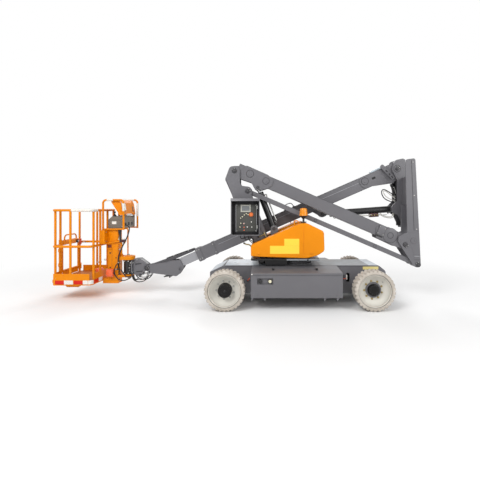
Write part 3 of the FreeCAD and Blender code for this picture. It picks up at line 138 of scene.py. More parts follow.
class Finish:
    """A material whose nodes come from one method."""

    def __init__(self, name, **sockets):
        self.material = bpy.data.materials.new(name)
        self.material.use_nodes = True
        self.tree = self.material.node_tree
        self.shader = self.tree.nodes["Principled BSDF"]
        self.place = self.add("ShaderNodeTexCoord", output="Object")
        self.set(**sockets)

    def set(self, **sockets):
        """Values or links of the shader's sockets; an underscore stands for a space."""
        for name, value in sockets.items():
            self.feed(self.shader.inputs[name.replace("_", " ")], value)

    def add(self, kind, settings=None, inputs=None, output=0):
        node = self.tree.nodes.new(kind)
        for name, value in (settings or {}).items():
            if name == "stops":
                for element, (position, colour) in zip(node.color_ramp.elements, value):
                    element.position = position
                    element.color = colour
            else:
                setattr(node, name, value)
        for name, value in (inputs or {}).items():
            self.feed(node.inputs[name], value)
        return Level(self, node.outputs[output])

    def feed(self, socket, value):
        if isinstance(value, Level):
            self.tree.links.new(value.socket, socket)
        else:
            socket.default_value = value

    def shaded(self):
        return Level(self, self.shader.outputs["BSDF"])

    def noise(self, scale, detail=3.0, roughness=0.55, place=None):
        inputs = {"Vector": place or self.place, "Scale": scale, "Detail": detail, "Roughness": roughness}
        return self.add("ShaderNodeTexNoise", None, inputs)

    def mix(self, share, first, second):
        """Colour between two colours."""
        settings = {"data_type": "RGBA"}
        inputs = {"Factor": share, 6: first, 7: second}
        return self.add("ShaderNodeMix", settings, inputs, output=2)

    def stretched(self, x, y, z):
        return self.add("ShaderNodeMapping", None, {"Vector": self.place, "Scale": (x, y, z)})

    def facing(self, axis):
        """How far the surface faces along X, Y or Z."""
        normal = self.add("ShaderNodeNewGeometry", output="Normal")
        return self.add("ShaderNodeSeparateXYZ", None, {0: normal}, output=axis)

    def rounded(self, radius):
        return self.add("ShaderNodeBevel", {"samples": 4}, {"Radius": radius})

    def edges(self, radius):
        """Share of an edge: 1 on sharp edges, 0 on flats."""
        normal = self.add("ShaderNodeNewGeometry", output="Normal")
        soft = self.rounded(radius)
        along = self.add("ShaderNodeVectorMath", {"operation": "DOT_PRODUCT"}, {0: normal, 1: soft},
                         output="Value")
        return 1 - along

    def bump(self, height, depth, normal=None):
        inputs = {"Height": height, "Distance": depth, "Strength": 1.0}
        if normal:
            inputs["Normal"] = normal
        return self.add("ShaderNodeBump", None, inputs)


def paint(name, colour, roughness=0.4, edge_radius=0.003, dusty=0.12, coat=0.0, peel=0.00006, shine=0.5):
    """Sprayed enamel: faint clouds, orange peel, dust on what faces up, paler edges."""
    made = Finish(name, Coat_Weight=coat, Coat_Roughness=0.12, Specular_IOR_Level=shine)
    clouds = made.noise(1.7, 5)
    streaks = made.noise(9.0, 4, place=made.stretched(1, 1, 0.25))
    shade = made.mix(clouds.over(0.35, 0.7) * 0.5, colour, [c * 0.86 for c in colour[:3]] + [1])
    worn = made.edges(edge_radius).over(0.02, 0.25)
    shade = made.mix(worn * 0.35, shade, [c * 0.75 + 0.1 for c in colour[:3]] + [1])
    dust = made.facing("Z").over(0.55, 0.95) * streaks.over(0.35, 0.75) * dusty
    shade = made.mix(dust, shade, DUST)
    rough = roughness + (streaks - 0.5) * 0.16 + dust * 0.5
    normal = made.bump(made.noise(420.0, 2), peel, made.rounded(edge_radius))
    made.set(Base_Color=shade, Roughness=rough, Normal=normal)
    return made.material


def plastic(name, colour, roughness=0.5, grain=0.00012, scale=900.0, shine=0.5):
    """Moulded plastic with a fine leather grain."""
    made = Finish(name, Specular_IOR_Level=shine)
    clouds = made.noise(6.0, 4)
    shade = made.mix(clouds.over(0.3, 0.75) * 0.35, colour, [c * 0.8 + 0.01 for c in colour[:3]] + [1])
    cells = made.add("ShaderNodeTexVoronoi", {"feature": "SMOOTH_F1"},
                     {"Vector": made.place, "Scale": scale}, output="Distance")
    rough = roughness + (clouds - 0.5) * 0.12
    normal = made.bump(cells, grain, made.rounded(0.0015))
    made.set(Base_Color=shade, Roughness=rough, Normal=normal)
    return made.material


def pale_rubber():
    """Non-marking tyre rubber: scuffed, dusty, with a fine moulded grain."""
    made = Finish("pale_rubber")
    clouds = made.noise(7.0, 6, 0.65)
    specks = made.noise(70.0, 4, 0.7)
    scuffs = made.noise(24.0, 6, 0.7, place=made.stretched(1, 0.3, 1))
    base = made.mix(clouds.over(0.35, 0.7), tone(198, 190, 180), tone(174, 166, 155))
    low = made.add("ShaderNodeSeparateXYZ", None, {0: made.place}, output="Z")
    # Darker towards the bottom of the tyre, near the ground, and along scuff marks.
    low_and_scuffed = (1 - low.over(0.0, 0.12)) * 0.35 + scuffs.over(0.52, 0.72) * 0.25
    shade = made.mix(low_and_scuffed, base, tone(138, 130, 116))
    shade = made.mix(specks.over(0.62, 0.8) * 0.3, shade, tone(120, 114, 104))
    rough = 0.78 + (specks - 0.5) * 0.2
    made.set(Base_Color=shade, Roughness=rough,
             Normal=made.bump(specks * 0.6 + scuffs * 0.4, 0.0012, made.rounded(0.003)))
    return made.material


def bright_metal(name, colour, roughness=0.22, brushed=(1, 1, 1)):
    """Bare metal with fine scratches along one way."""
    made = Finish(name, Metallic=1.0)
    lines = made.noise(320.0, 3, place=made.stretched(*brushed))
    clouds = made.noise(5.0, 4)
    shade = made.mix(clouds.over(0.3, 0.8) * 0.4, colour, [c * 0.75 for c in colour[:3]] + [1])
    rough = roughness + (lines - 0.5) * 0.14 + (clouds - 0.5) * 0.1
    made.set(Base_Color=shade, Roughness=rough, Normal=made.bump(lines, 0.00003, made.rounded(0.001)))
    return made.material


def hose_rubber():
    """Black hose: matt, with a wrapped-cloth texture and some dust."""
    made = Finish("hose_rubber")
    wrap = made.add("ShaderNodeTexWave", {"bands_direction": "DIAGONAL"},
                    {"Vector": made.place, "Scale": 160.0, "Distortion": 0.6})
    dust = made.noise(14.0, 5)
    shade = made.mix(dust.over(0.5, 0.8) * 0.3, tone(26, 26, 27), tone(92, 88, 82))
    made.set(Base_Color=shade, Roughness=0.62 + (dust - 0.5) * 0.2, Normal=made.bump(wrap, 0.0003))
    return made.material


def sticker(name, colour, roughness=0.32):
    """Vinyl sheet, glossy and faintly uneven."""
    made = Finish(name, Coat_Weight=0.3)
    ripple = made.noise(18.0, 3)
    shade = made.mix(ripple.over(0.4, 0.75) * 0.3, colour, [c * 0.88 for c in colour[:3]] + [1])
    made.set(Base_Color=shade, Roughness=roughness + (ripple - 0.5) * 0.1, Normal=made.bump(ripple, 0.0003))
    return made.material


def reflector(name, colour):
    """Reflective tape with its small cells."""
    made = Finish(name, Coat_Weight=0.1, Specular_IOR_Level=0.2)
    cells = made.add("ShaderNodeTexVoronoi", {"feature": "DISTANCE_TO_EDGE"},
                     {"Vector": made.place, "Scale": 260.0}, output="Distance")
    shade = made.mix(cells.over(0.0, 0.12), [c * 0.7 for c in colour[:3]] + [1], colour)
    made.set(Base_Color=shade, Roughness=0.3 + cells * 0.2, Normal=made.bump(cells, 0.0002))
    return made.material


def amber():
    made = Finish("amber_lens", Transmission_Weight=0.2, IOR=1.46, Coat_Weight=0.1)
    depth = made.noise(30.0, 2)
    shade = made.mix(depth, tone(255, 164, 6), tone(240, 136, 0))
    made.set(Base_Color=shade, Roughness=0.18 + depth * 0.1, Normal=made.bump(depth, 0.0004))
    return made.material


def screen(name, colour):
    made = Finish(name, Coat_Weight=1.0, Coat_Roughness=0.03)
    haze = made.noise(40.0, 2)
    shade = made.mix(haze, colour, [c * 0.8 for c in colour[:3]] + [1])
    made.set(Base_Color=shade, Roughness=0.15 + haze * 0.1)
    return made.material


def tread_plate():
    """Platform deck: orange pressed sheet with raised studs and trodden dirt."""
    made = Finish("deck_sheet", Metallic=0.2)
    studs = made.add("ShaderNodeTexVoronoi", {"feature": "F1"},
                     {"Vector": made.stretched(1, 1, 0), "Scale": 42.0, "Randomness": 0.0}, output="Distance")
    raised = 1 - studs.over(0.18, 0.34)
    dirt = made.noise(8.0, 6, 0.7)
    shade = made.mix(dirt.over(0.4, 0.7) * 0.6, tone(176, 96, 18), tone(120, 84, 48))
    shade = made.mix(raised * 0.4, shade, tone(206, 120, 30))
    made.set(Base_Color=shade, Roughness=0.55 + (dirt - 0.5) * 0.3, Normal=made.bump(raised, 0.0015))
    return made.material


grey_paint = paint("grey_enamel", GREY, roughness=0.42)
dark_paint = paint("dark_enamel", DARK_GREY, roughness=0.45)
light_paint = paint("light_grey_enamel", LIGHT_GREY, roughness=0.4)
hood_paint = paint("hood_gel_coat", ORANGE, roughness=0.42, peel=0.00003, dusty=0.03, shine=0.2)
tube_paint = paint("orange_enamel", TUBE_ORANGE, roughness=0.42, dusty=0.06, shine=0.2)
cream_paint = paint("cream_enamel", CREAM, roughness=0.5, dusty=0.2)
black_paint = paint("black_enamel", BLACK, roughness=0.26, coat=0.25, shine=0.35)
black_plastic = plastic("black_plastic", tone(34, 34, 36), 0.5)
panel_plastic = plastic("panel_plastic", tone(66, 66, 62), 0.55)
orange_plastic = plastic("orange_plastic", tone(226, 130, 0), 0.45, grain=0.00008, shine=0.2)
cream_plastic = plastic("cream_plastic", tone(226, 220, 190), 0.4)
red_plastic = plastic("red_plastic", tone(226, 96, 62), 0.35)
salmon_plastic = plastic("salmon_plastic", tone(236, 104, 60), 0.4)
stop_plastic = plastic("stop_plastic", tone(222, 112, 48), 0.4)
cover_plastic = plastic("cover_plastic", tone(196, 208, 216), 0.2)
rubber = pale_rubber()
hose = hose_rubber()
zinc = bright_metal("zinc_bolts", ZINC, 0.32)
chrome = bright_metal("chrome_rod", tone(210, 212, 214), 0.12)
yellow_sheet = sticker("yellow_plate", tone(247, 208, 52))
white_sheet = sticker("white_sheet", tone(228, 226, 218))
red_tape = reflector("red_tape", tone(212, 34, 18))
white_tape = reflector("white_tape", tone(232, 230, 224))
amber_lens = amber()
lcd = screen("lcd", tone(104, 108, 110))
deck = tread_plate()
pin_steel = paint("pin_grey", tone(58, 57, 60), roughness=0.38)
seam_paint = paint("weld_seam", tone(62, 61, 65), roughness=0.5)
# Painted light for the frame's top: a light bluish grey that paints in the sky's reflection, and a dimmer grey for
# stretches that catch less light.
lit_deck_paint = paint("sky_reflection_grey", tone(190, 200, 210), roughness=0.3, coat=0.1, dusty=0.3)
half_lit_paint = paint("half_lit_sheet", tone(132, 137, 142), roughness=0.4, dusty=0.3)
# Painted shadow: near-black grey laid where recesses, grooves, slots and gaps would be in shade.
shadow_paint = paint("ring_shadow_grey", tone(44, 43, 46), roughness=0.6)
ridge_paint = paint("ridge_grey", tone(124, 123, 128), roughness=0.35)
port_paint = paint("port_block_enamel", tone(66, 24, 30), roughness=0.4)
foam = plastic("white_foam", tone(226, 222, 214), 0.8, grain=0.0004, scale=300.0)
console_plastic = plastic("console_plastic", tone(112, 103, 92), 0.5)
rubber_seal = plastic("rubber_seal", tone(22, 22, 23), 0.7)
brass = bright_metal("brass_fittings", tone(178, 160, 112), 0.42)
hub_paint = paint("hub_black", tone(12, 10, 10), roughness=0.3, coat=0.05, dusty=0.02, shine=0.25)
pale_yellow = sticker("pale_yellow_sheet", tone(222, 206, 136))
# Painted shade: dark orange for the shaded recess in the carrier's column.
recess_shade_paint = paint("recess_shade_orange", tone(118, 50, 14), roughness=0.6)
bezel = plastic("bezel_grey", tone(178, 178, 168), 0.45)
# Painted shade: near-black for the shaded inside of the post.
post_shade_paint = paint("post_inside_shade", tone(42, 42, 45), roughness=0.5)

FINISH_OF_SLOT = {
    "grey_paint": grey_paint, "orange_paint": tube_paint, "black_paint": black_paint,
    "light_grey_paint": light_paint, "cream_paint": cream_paint, "pale_tyre": rubber,
    "chrome_rod": chrome, "amber_lens": amber_lens, "orange_plastic": orange_plastic,
    "box_plastic": console_plastic, "hose_rubber": hose,
}
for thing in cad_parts.values():
    for holder in thing.material_slots:
        slot_name = holder.material.name if holder.material else ""
        holder.material = FINISH_OF_SLOT.get(slot_name, grey_paint)
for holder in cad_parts["slew_ring"].material_slots:
    holder.material = ridge_paint


# Shapes

class Shape:
    """A mesh in the making, put together from parts that each take one finish."""

    def __init__(self):
        self.whole = bmesh.new()
        self.finishes = []

    @contextmanager
    def part(self, finish):
        if finish not in self.finishes:
            self.finishes.append(finish)
        piece = bmesh.new()
        yield piece
        bmesh.ops.recalc_face_normals(piece, faces=piece.faces)
        for face in piece.faces:
            face.material_index = self.finishes.index(finish)
        held = bpy.data.meshes.new("held")
        piece.to_mesh(held)
        piece.free()
        self.whole.from_mesh(held)
        bpy.data.meshes.remove(held)

    def box(self, finish, low, high, round_by=0.0, steps=2, place=None):
        """Block between two corners, its edges rounded, and moved to its place."""
        low, high = (Vector(ends) for ends in zip(*(sorted(pair) for pair in zip(low, high))))
        with self.part(finish) as piece:
            size = Matrix.Diagonal((*(high - low), 1))
            bmesh.ops.create_cube(piece, size=1, matrix=Matrix.Translation((low + high) / 2) @ size)
            if round_by:
                soften(piece, piece.edges, round_by, steps)
            if place:
                bmesh.ops.transform(piece, matrix=place, verts=piece.verts)

    def rod(self, finish, start, end, radius, far_radius=None, sides=32, round_by=0.0, steps=2):
        """Round bar, or a tapered one, between two points."""
        start, end = Vector(start), Vector(end)
        along = end - start
        turn = UP.rotation_difference(along).to_matrix().to_4x4()
        with self.part(finish) as piece:
            bmesh.ops.create_cone(
                piece, cap_ends=True, segments=sides, radius1=radius,
                radius2=radius if far_radius is None else far_radius, depth=along.length,
                matrix=Matrix.Translation((start + end) / 2) @ turn)
            if round_by:
                rims = [edge for edge in piece.edges
                        if any(len(face.verts) > 4 for face in edge.link_faces)]
                soften(piece, rims, round_by, steps)

    def slab(self, finish, outline, low, high, way="y", round_by=0.0, steps=3):
        """Plate of an outline of (a, b, corner) points, between two levels across it."""
        turn = {"y": lambda a, b, c: (a, c, b), "x": lambda a, b, c: (c, a, b), "z": lambda a, b, c: (a, b, c)}
        place = turn[way]
        across = Vector(place(0, 0, 1))
        with self.part(finish) as piece:
            corners = [piece.verts.new(place(a, b, low)) for a, b, *_ in outline]
            piece.faces.new(corners)
            for corner, (_, _, *radius) in zip(corners, outline):
                if radius and radius[0]:
                    bmesh.ops.bevel(piece, geom=[corner], offset=radius[0], segments=6,
                                    affect="VERTICES", profile=0.5, material=-1)
            grown = bmesh.ops.extrude_face_region(piece, geom=piece.faces[:])
            far = [part for part in grown["geom"] if isinstance(part, bmesh.types.BMVert)]
            bmesh.ops.translate(piece, verts=far, vec=across * (high - low))
            if round_by:
                rims = [edge for edge in piece.edges
                        if abs((edge.verts[1].co - edge.verts[0].co).dot(across)) < 1e-6]
                soften(piece, rims, round_by, steps)

    def turned(self, finish, profile, centre, axis, steps=64, closed=True):
        """Body of revolution; the profile is (radius, distance along the axis) points."""
        centre, axis = Vector(centre), Vector(axis).normalized()
        side = axis.orthogonal().normalized()
        with self.part(finish) as piece:
            points = [piece.verts.new(centre + side * r + axis * a) for r, a in profile]
            for first, second in zip(points, points[1:] + points[:1] if closed else points[1:]):
                piece.edges.new((first, second))
            bmesh.ops.spin(piece, geom=piece.verts[:] + piece.edges[:], cent=centre, axis=axis,
                           angle=math.tau, steps=steps, use_merge=True)
            bmesh.ops.remove_doubles(piece, verts=piece.verts, dist=1e-5)

    def bolt(self, finish, place, axis, radius=0.008, height=None):
        """Hexagon head on a washer."""
        place, axis = Vector(place), Vector(axis).normalized()
        washer = radius * 0.35
        self.rod(finish, place - axis * 0.001, place + axis * washer, radius * 1.45, sides=20)
        self.rod(finish, place, place + axis * (height or radius * 1.3), radius * 1.1, sides=6,
                 round_by=radius * 0.12, steps=1)

    def pipe(self, finish, points, radius, order=3, sides=6):
        """Smooth round bar along a curve through a few points."""
        with self.part(finish) as piece:
            mesh = curve_mesh(points, radius, order, sides)
            piece.from_mesh(mesh)
            bpy.data.meshes.remove(mesh)

    def done(self, name, body, stands_for=(), sharp=32, across=None):
        mesh = bpy.data.meshes.new(name)
        self.whole.to_mesh(mesh)
        self.whole.free()
        for finish in self.finishes:
            mesh.materials.append(finish)
        mesh.shade_smooth()
        mesh.set_sharp_from_angle(angle=math.radians(sharp))
        thing = bpy.data.objects.new(name, mesh)
        bpy.context.scene.collection.objects.link(thing)
        if across:
            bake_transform(thing)
        else:
            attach(thing, body)
        if stands_for:
            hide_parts(*stands_for)
        return thing


def soften(piece, edges, radius, steps):
    bmesh.ops.bevel(piece, geom=list(edges), offset=radius, segments=steps, affect="EDGES",
                    profile=0.5, material=-1, clamp_overlap=True)


def curve_of(name, points, radius, order=3, sides=6):
    """Curve along points, as an object with a round section."""
    curve = bpy.data.curves.new(name, "CURVE")
    curve.dimensions = "3D"
    curve.bevel_depth = radius
    curve.bevel_resolution = sides
    curve.resolution_u = 10
    curve.use_fill_caps = True
    spline = curve.splines.new("NURBS")
    spline.points.add(len(points) - 1)
    for control, place in zip(spline.points, points):
        control.co = (*place, 1.0)
    spline.order_u = order
    spline.use_endpoint_u = True
    return bpy.data.objects.new(name, curve)


def curve_mesh(points, radius, order, sides):
    thing = curve_of("bar", points, radius, order, sides)
    mesh = bpy.data.meshes.new_from_object(thing)
    curve = thing.data
    bpy.data.objects.remove(thing)
    bpy.data.curves.remove(curve)
    return mesh


def around(count, axis, start=0.0):
    """Turns about an axis, evenly spaced."""
    return [Matrix.Rotation(start + math.tau * i / count, 4, axis) for i in range(count)]


# Camera

CAMERA_AT = Vector((0.5125, -5.23, 1.445))
LENS_PX = 323.5
FRAME_PX = 480
PRINCIPAL_PX = (267.7, 208.0)

camera = bpy.data.objects.new("camera", bpy.data.cameras.new("camera"))
bpy.context.scene.collection.objects.link(camera)
camera.location = CAMERA_AT
camera.rotation_euler = (math.radians(90), 0, 0)
camera.data.sensor_width = 36.0
camera.data.lens = 36.0 * LENS_PX / FRAME_PX
camera.data.shift_x = (FRAME_PX / 2 - PRINCIPAL_PX[0]) / FRAME_PX
camera.data.shift_y = (PRINCIPAL_PX[1] - FRAME_PX / 2) / FRAME_PX
bpy.context.scene.camera = camera


# Control cable

def control_line():
    """Control cable from the console's gland down the carrier to its lower bracket."""
    route = [
        (-2.836, 0.150, 1.165), (-2.736, 0.150, 1.165), (-2.752, 0.122, 1.000), (-2.828, 0.086, 0.830),
        (-2.900, 0.076, 0.650), (-2.910, 0.104, 0.500), (-2.905, 0.130, 0.425), (-2.905, 0.130, 0.341),
    ]
    line = curve_of("control_line", [spot(*place) for place in route], 0.010)
    line.data.materials.append(hose)
    bpy.context.scene.collection.objects.link(line)
    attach(line, "platform")
    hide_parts("console_hose")
    spot(*route[0])
    ends = Shape()
    foot = spot(*route[-1])
    ends.rod(black_plastic, foot - UP * 0.001, foot + UP * 0.012, 0.019, sides=6, round_by=0.0015)
    ends.turned(black_plastic, [
        (0.0, 0.011), (0.0155, 0.011), (0.0155, 0.018), (0.013, 0.022), (0.0115, 0.034), (0.0, 0.034),
    ], foot, UP, steps=40, closed=False)
    return ends.done("control_line_gland", "platform")


control_line()


# Places shared with the model, in side view

PIN_A, PIN_B = (-0.957, 2.015), (-0.757, 1.705)
PIN_C, PIN_D = (1.663, 0.885), (1.863, 0.575)
PIN_E, NOSE_END = (1.679, 2.091), (-1.890, 0.540)
PIN_F, PIN_G = (1.653, 1.430), (0.464, 1.344)
PIN_H, PIN_J = (-0.351, 1.126), (-0.600, 1.763)
PIN_N, PIN_M = (1.727, 1.525), (1.626, 1.888)
PIN_S, PIN_K = (-1.902, 0.440), (-2.566, 0.336)
PIN_P = (-2.444, 0.453)
RISER_Y, BOOM_Y = -0.14, 0.2


class Run:
    """A straight run in side view; its own places are along it, across and above it."""

    def __init__(self, start, end):
        base, tip = spot(start[0], 0, start[1]), spot(end[0], 0, end[1])
        self.length = (tip - base).length
        self.along = (tip - base).normalized()
        self.above = Vector((-self.along.z, 0, self.along.x))
        if self.above.z < 0:
            self.above = -self.above
        turn = Matrix((self.along, ACROSS, self.above)).transposed().to_4x4()
        self.place = Matrix.Translation(base) @ turn

    def at(self, reach, across, above=0.0):
        return self.place @ Vector((reach, across, above))


RISER = Run(PIN_A, PIN_C)
TIE = Run(PIN_B, PIN_D)
BOOM = Run(PIN_E, NOSE_END)


def pin_end(shape, at, across, out, radius, turn=0.0):
    """End of a pin with a grease nipple, and its keeper plate on two bolts."""
    face = ACROSS * out
    middle = spot(at[0], across, at[1])
    shape.rod(pin_steel, middle - face * 0.002, middle + face * 0.004, radius, sides=40, round_by=0.0015)
    shape.rod(zinc, middle + face * 0.003, middle + face * 0.011, 0.0036, 0.0024, sides=10)
    swing = Matrix.Translation(middle) @ Matrix.Rotation(turn, 4, ACROSS)
    low, high = Vector((-0.028, out * 0.0005, radius - 0.007)), Vector((0.028, out * 0.0055, radius + 0.01))
    shape.box(dark_paint, low, high, 0.002, place=swing)
    for x in (-0.019, 0.019):
        shape.bolt(zinc, swing @ Vector((x, out * 0.005, radius + 0.003)), face, 0.0042)


def weld_ring(shape, finish, middle, axis, radius, size=0.003):
    """Weld bead round a disc or a boss."""
    ring = [(radius - size, 0.0), (radius, size * 1.3), (radius + size, size), (radius + size * 1.6, 0.0)]
    shape.turned(finish, ring, middle, axis, steps=56)


def flat_ring(shape, middle, axis, radius, width=0.0055, height=0.0012):
    """Dark flat ring round an inset disc, painted as the shadow of its rebate."""
    ring = [(radius - width, 0.0), (radius - width, height), (radius, height), (radius, 0.0)]
    shape.turned(shadow_paint, ring, middle, axis, steps=72)


def weld_line(shape, finish, *corners, size=0.0032):
    """Weld bead along straight seams."""
    for start, end in zip(corners, corners[1:]):
        shape.rod(finish, start, end, size, sides=8)


# Wheels

LUGS = 30
RIM_SEAT = 0.2115
TYRE_R = STEER_AXLE.z
TYRE_HALF = (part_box("tyre_steer_near")[1].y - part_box("tyre_steer_near")[0].y) / 2


def tyre(name, node, body):
    """Solid tyre: a spun carcass with shoulder lugs that lean into the tread."""
    centre = middle_of(node)
    shape = Shape()
    crown = TYRE_R - 0.0115
    half = TYRE_HALF
    shoulder = [
        (RIM_SEAT, half - 0.026), (RIM_SEAT, half - 0.018), (0.2335, half - 0.017), (0.2343, half - 0.006),
        (0.2368, half - 0.001), (0.243, half), (0.2455, half - 0.002), (0.248, half), (0.256, half - 0.001),
        (crown - 0.008, half - 0.006), (crown, half - 0.022),
    ]
    profile = shoulder + [(r, -a) for r, a in reversed(shoulder)]
    shape.turned(rubber, profile, centre, ACROSS, steps=112)
    # Dark ring on each sidewall by the rim's lip, painted as the shadow in the groove there.
    for side in (-1, 1):
        bead = centre + ACROSS * side * (half - 0.016)
        shape.turned(rubber_seal, [(0.2285, -0.001), (0.2285, 0.0), (0.2338, 0.0), (0.2338, -0.001)], bead,
                     ACROSS * side, steps=96)
    with shape.part(rubber) as piece:
        for side in (-1, 1):
            for turn in around(LUGS, ACROSS, 0.0 if side < 0 else math.pi / LUGS):
                lug(piece, centre, side, turn)
    return shape.done(name, body, (node,), sharp=28)


def lug(piece, centre, side, turn):
    """One tread block, from the shoulder to past the middle of the tread."""
    half_long = 0.0195
    lean = 0.016
    low, high = TYRE_R - 0.032, TYRE_R
    tread = [
        (side * (TYRE_HALF - 0.0015), low, 0.9), (side * (TYRE_HALF - 0.003), TYRE_R - 0.012, 1.0),
        (side * (TYRE_HALF - 0.012), high, 0.92), (side * 0.006, high, 0.8), (side * 0.006, low, 0.8),
    ]
    loops = []
    for end in (-1, 1):
        loop = []
        for y, r, width in tread:
            x = end * half_long * width + lean * (1 - abs(y) / TYRE_HALF)
            loop.append(piece.verts.new(centre + turn @ Vector((x, y, -math.sqrt(r * r - x * x)))))
        loops.append(loop)
    ends = [piece.faces.new(loop) for loop in loops]
    for i in range(len(tread)):
        j = (i + 1) % len(tread)
        piece.faces.new((loops[0][i], loops[0][j], loops[1][j], loops[1][i]))
    rims = {edge for face in ends for edge in face.edges}
    soften(piece, rims, 0.003, 1)


def wheel_rim(name, node, body, side, hub_r, hub_set, bolts, bolt_r, flange_r):
    """Dished rim with a rolled lip, its hub and its bolts."""
    centre = middle_of(node)
    outer = Vector((centre.x, side * abs(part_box(node)[0].y if side < 0 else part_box(node)[1].y), centre.z))
    face = ACROSS * side
    lip = 0.014
    disc = -0.115 + lip
    shape = Shape()
    dish = [
        (0.229, -0.012), (0.229, -0.003), (0.2268, 0.0), (0.2222, 0.0), (0.2188, -0.003), (0.2165, -0.010),
        (0.2135, -0.022), (0.206, -0.044), (0.192, -0.066), (0.173, -0.083), (0.153, -0.0945), (0.140, -0.0995),
        (0.128, disc), (0.06, disc), (0.06, disc - 0.012), (0.14, disc - 0.012), (0.198, -0.112),
        (0.205, -0.158), (0.2113, -0.172 + lip), (0.2113, -0.012),
    ]
    shape.turned(cream_paint, dish, outer, face, steps=112)
    hub = hub_set - lip
    shape.turned(grey_paint if flange_r > hub_r else black_paint, [
        (0.05, disc - 0.002), (flange_r, disc - 0.002), (flange_r, disc + 0.014),
        (flange_r - 0.004, disc + 0.018), (0.05, disc + 0.018),
    ], outer, face, steps=72)
    nut = brass if flange_r > hub_r else zinc
    shape.turned(hub_paint, [
        (0.0, disc + 0.0008), (hub_r + 0.004, disc + 0.0008), (hub_r + 0.002, disc + 0.024), (hub_r, disc + 0.03),
        (hub_r, -hub - 0.012), (hub_r - 0.004, -hub - 0.004), (hub_r - 0.012, -hub), (0.05, -hub),
        (0.046, -hub - 0.004), (0.0, -hub - 0.004),
    ], outer, face, steps=72, closed=False)
    if flange_r > hub_r:
        shape.turned(black_paint, [
            (hub_r + 0.003, disc + 0.03), (hub_r + 0.01, disc + 0.03), (hub_r + 0.01, disc + 0.018),
            (hub_r + 0.003, disc + 0.018),
        ], outer, face, steps=48)
        for turn in around(12, ACROSS):
            shape.bolt(hub_paint, outer + turn @ Vector((0.062, 0, 0)) - face * (hub + 0.0005), face, 0.005)
    else:
        for turn in around(10, ACROSS, 0.2):
            shape.bolt(hub_paint, outer + turn @ Vector((0.083, 0, 0)) - face * (hub + 0.0035), face, 0.006)
        shape.rod(black_paint, outer - face * (hub + 0.004), outer - face * (hub - 0.003), 0.016, sides=6, round_by=0.001)
    for turn in around(bolts, ACROSS, 0.3):
        seat = outer + turn @ Vector((bolt_r, 0, 0)) + face * (disc - 0.001)
        shape.bolt(nut, seat, face, 0.0105, 0.017)
        shape.rod(nut, seat, seat + face * 0.026, 0.0065, sides=14, round_by=0.001)
    valve = outer + Vector((0.125, 0, 0.11)) - face * 0.088
    shape.rod(zinc, valve, valve + face * 0.03, 0.005, sides=12)
    return shape.done(name, body, (node,))


for place, side in (("near", -1), ("far", 1)):
    tyre(f"tread_drive_{place}", f"tyre_drive_{place}", f"wheel_drive_{place}")
    tyre(f"tread_steer_{place}", f"tyre_steer_{place}", f"wheel_steer_{place}")
    wheel_rim(f"dish_drive_{place}", f"rim_drive_{place}", f"wheel_drive_{place}", side,
              0.097, 0.02, 9, 0.128, 0.0)
    wheel_rim(f"dish_steer_{place}", f"rim_steer_{place}", f"wheel_steer_{place}", side,
              0.079, 0.054, 9, 0.128, 0.110)


# Hoods

HOOD = [
    (-0.697, 0.733, 0.012), (-0.697, 0.897, 0.03), (0.030, 1.216, 0.06), (0.133, 1.222, 0.03),
    (0.392, 1.095, 0.035), (0.401, 0.803, 0.035), (0.296, 0.738, 0.03), (0.130, 0.7, 0.02),
    (-0.560, 0.722, 0.02),
]


CREASE_X = MID_X + 0.085


def hood(name, node, outward):
    """Moulded hood: rounded shoulders, a pressed crease, hinges and a turn latch."""
    low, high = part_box(node)
    open_y, face_y = (high.y, low.y) if outward < 0 else (low.y, high.y)
    shape = Shape()
    outline = [(MID_X + x, z, r) for x, z, r in HOOD]
    with shape.part(hood_paint) as piece:
        corners = [piece.verts.new((x, open_y, z)) for x, z, _ in outline]
        piece.faces.new(corners)
        for corner, (_, _, radius) in zip(corners, outline):
            bmesh.ops.bevel(piece, geom=[corner], offset=radius, segments=8, affect="VERTICES",
                            profile=0.5, material=-1)
        grown = bmesh.ops.extrude_face_region(piece, geom=piece.faces[:])
        far = [part for part in grown["geom"] if isinstance(part, bmesh.types.BMVert)]
        bmesh.ops.translate(piece, verts=far, vec=(0, face_y - open_y, 0))
        rims = [edge for edge in piece.edges if all(abs(v.co.y - face_y) < 1e-6 for v in edge.verts)]
        soften(piece, rims, 0.026, 6)
        everything = piece.verts[:] + piece.edges[:] + piece.faces[:]
        bmesh.ops.bisect_plane(piece, geom=everything, plane_co=(CREASE_X, 0, 0), plane_no=(1, 0, 0))
        for corner in piece.verts:
            share = (corner.co.y - open_y) / (face_y - open_y)
            corner.co.y -= outward * 0.1 * max(0.0, corner.co.x - CREASE_X) * share
    for x, z, set_back in ((-0.58, 0.765, 0.0), (0.2, 0.775, 0.0105)):
        place = spot(x, face_y - outward * set_back, z)
        shape.rod(hood_paint, place, place + ACROSS * outward * 0.006, 0.018, sides=28, round_by=0.002)
        shape.box(hood_paint, place + Vector((-0.013, min(0, outward * 0.009), -0.003)),
                  place + Vector((0.013, max(0, outward * 0.009), 0.003)), 0.001)
    return shape.done(name, "turntable", (node,), sharp=40)


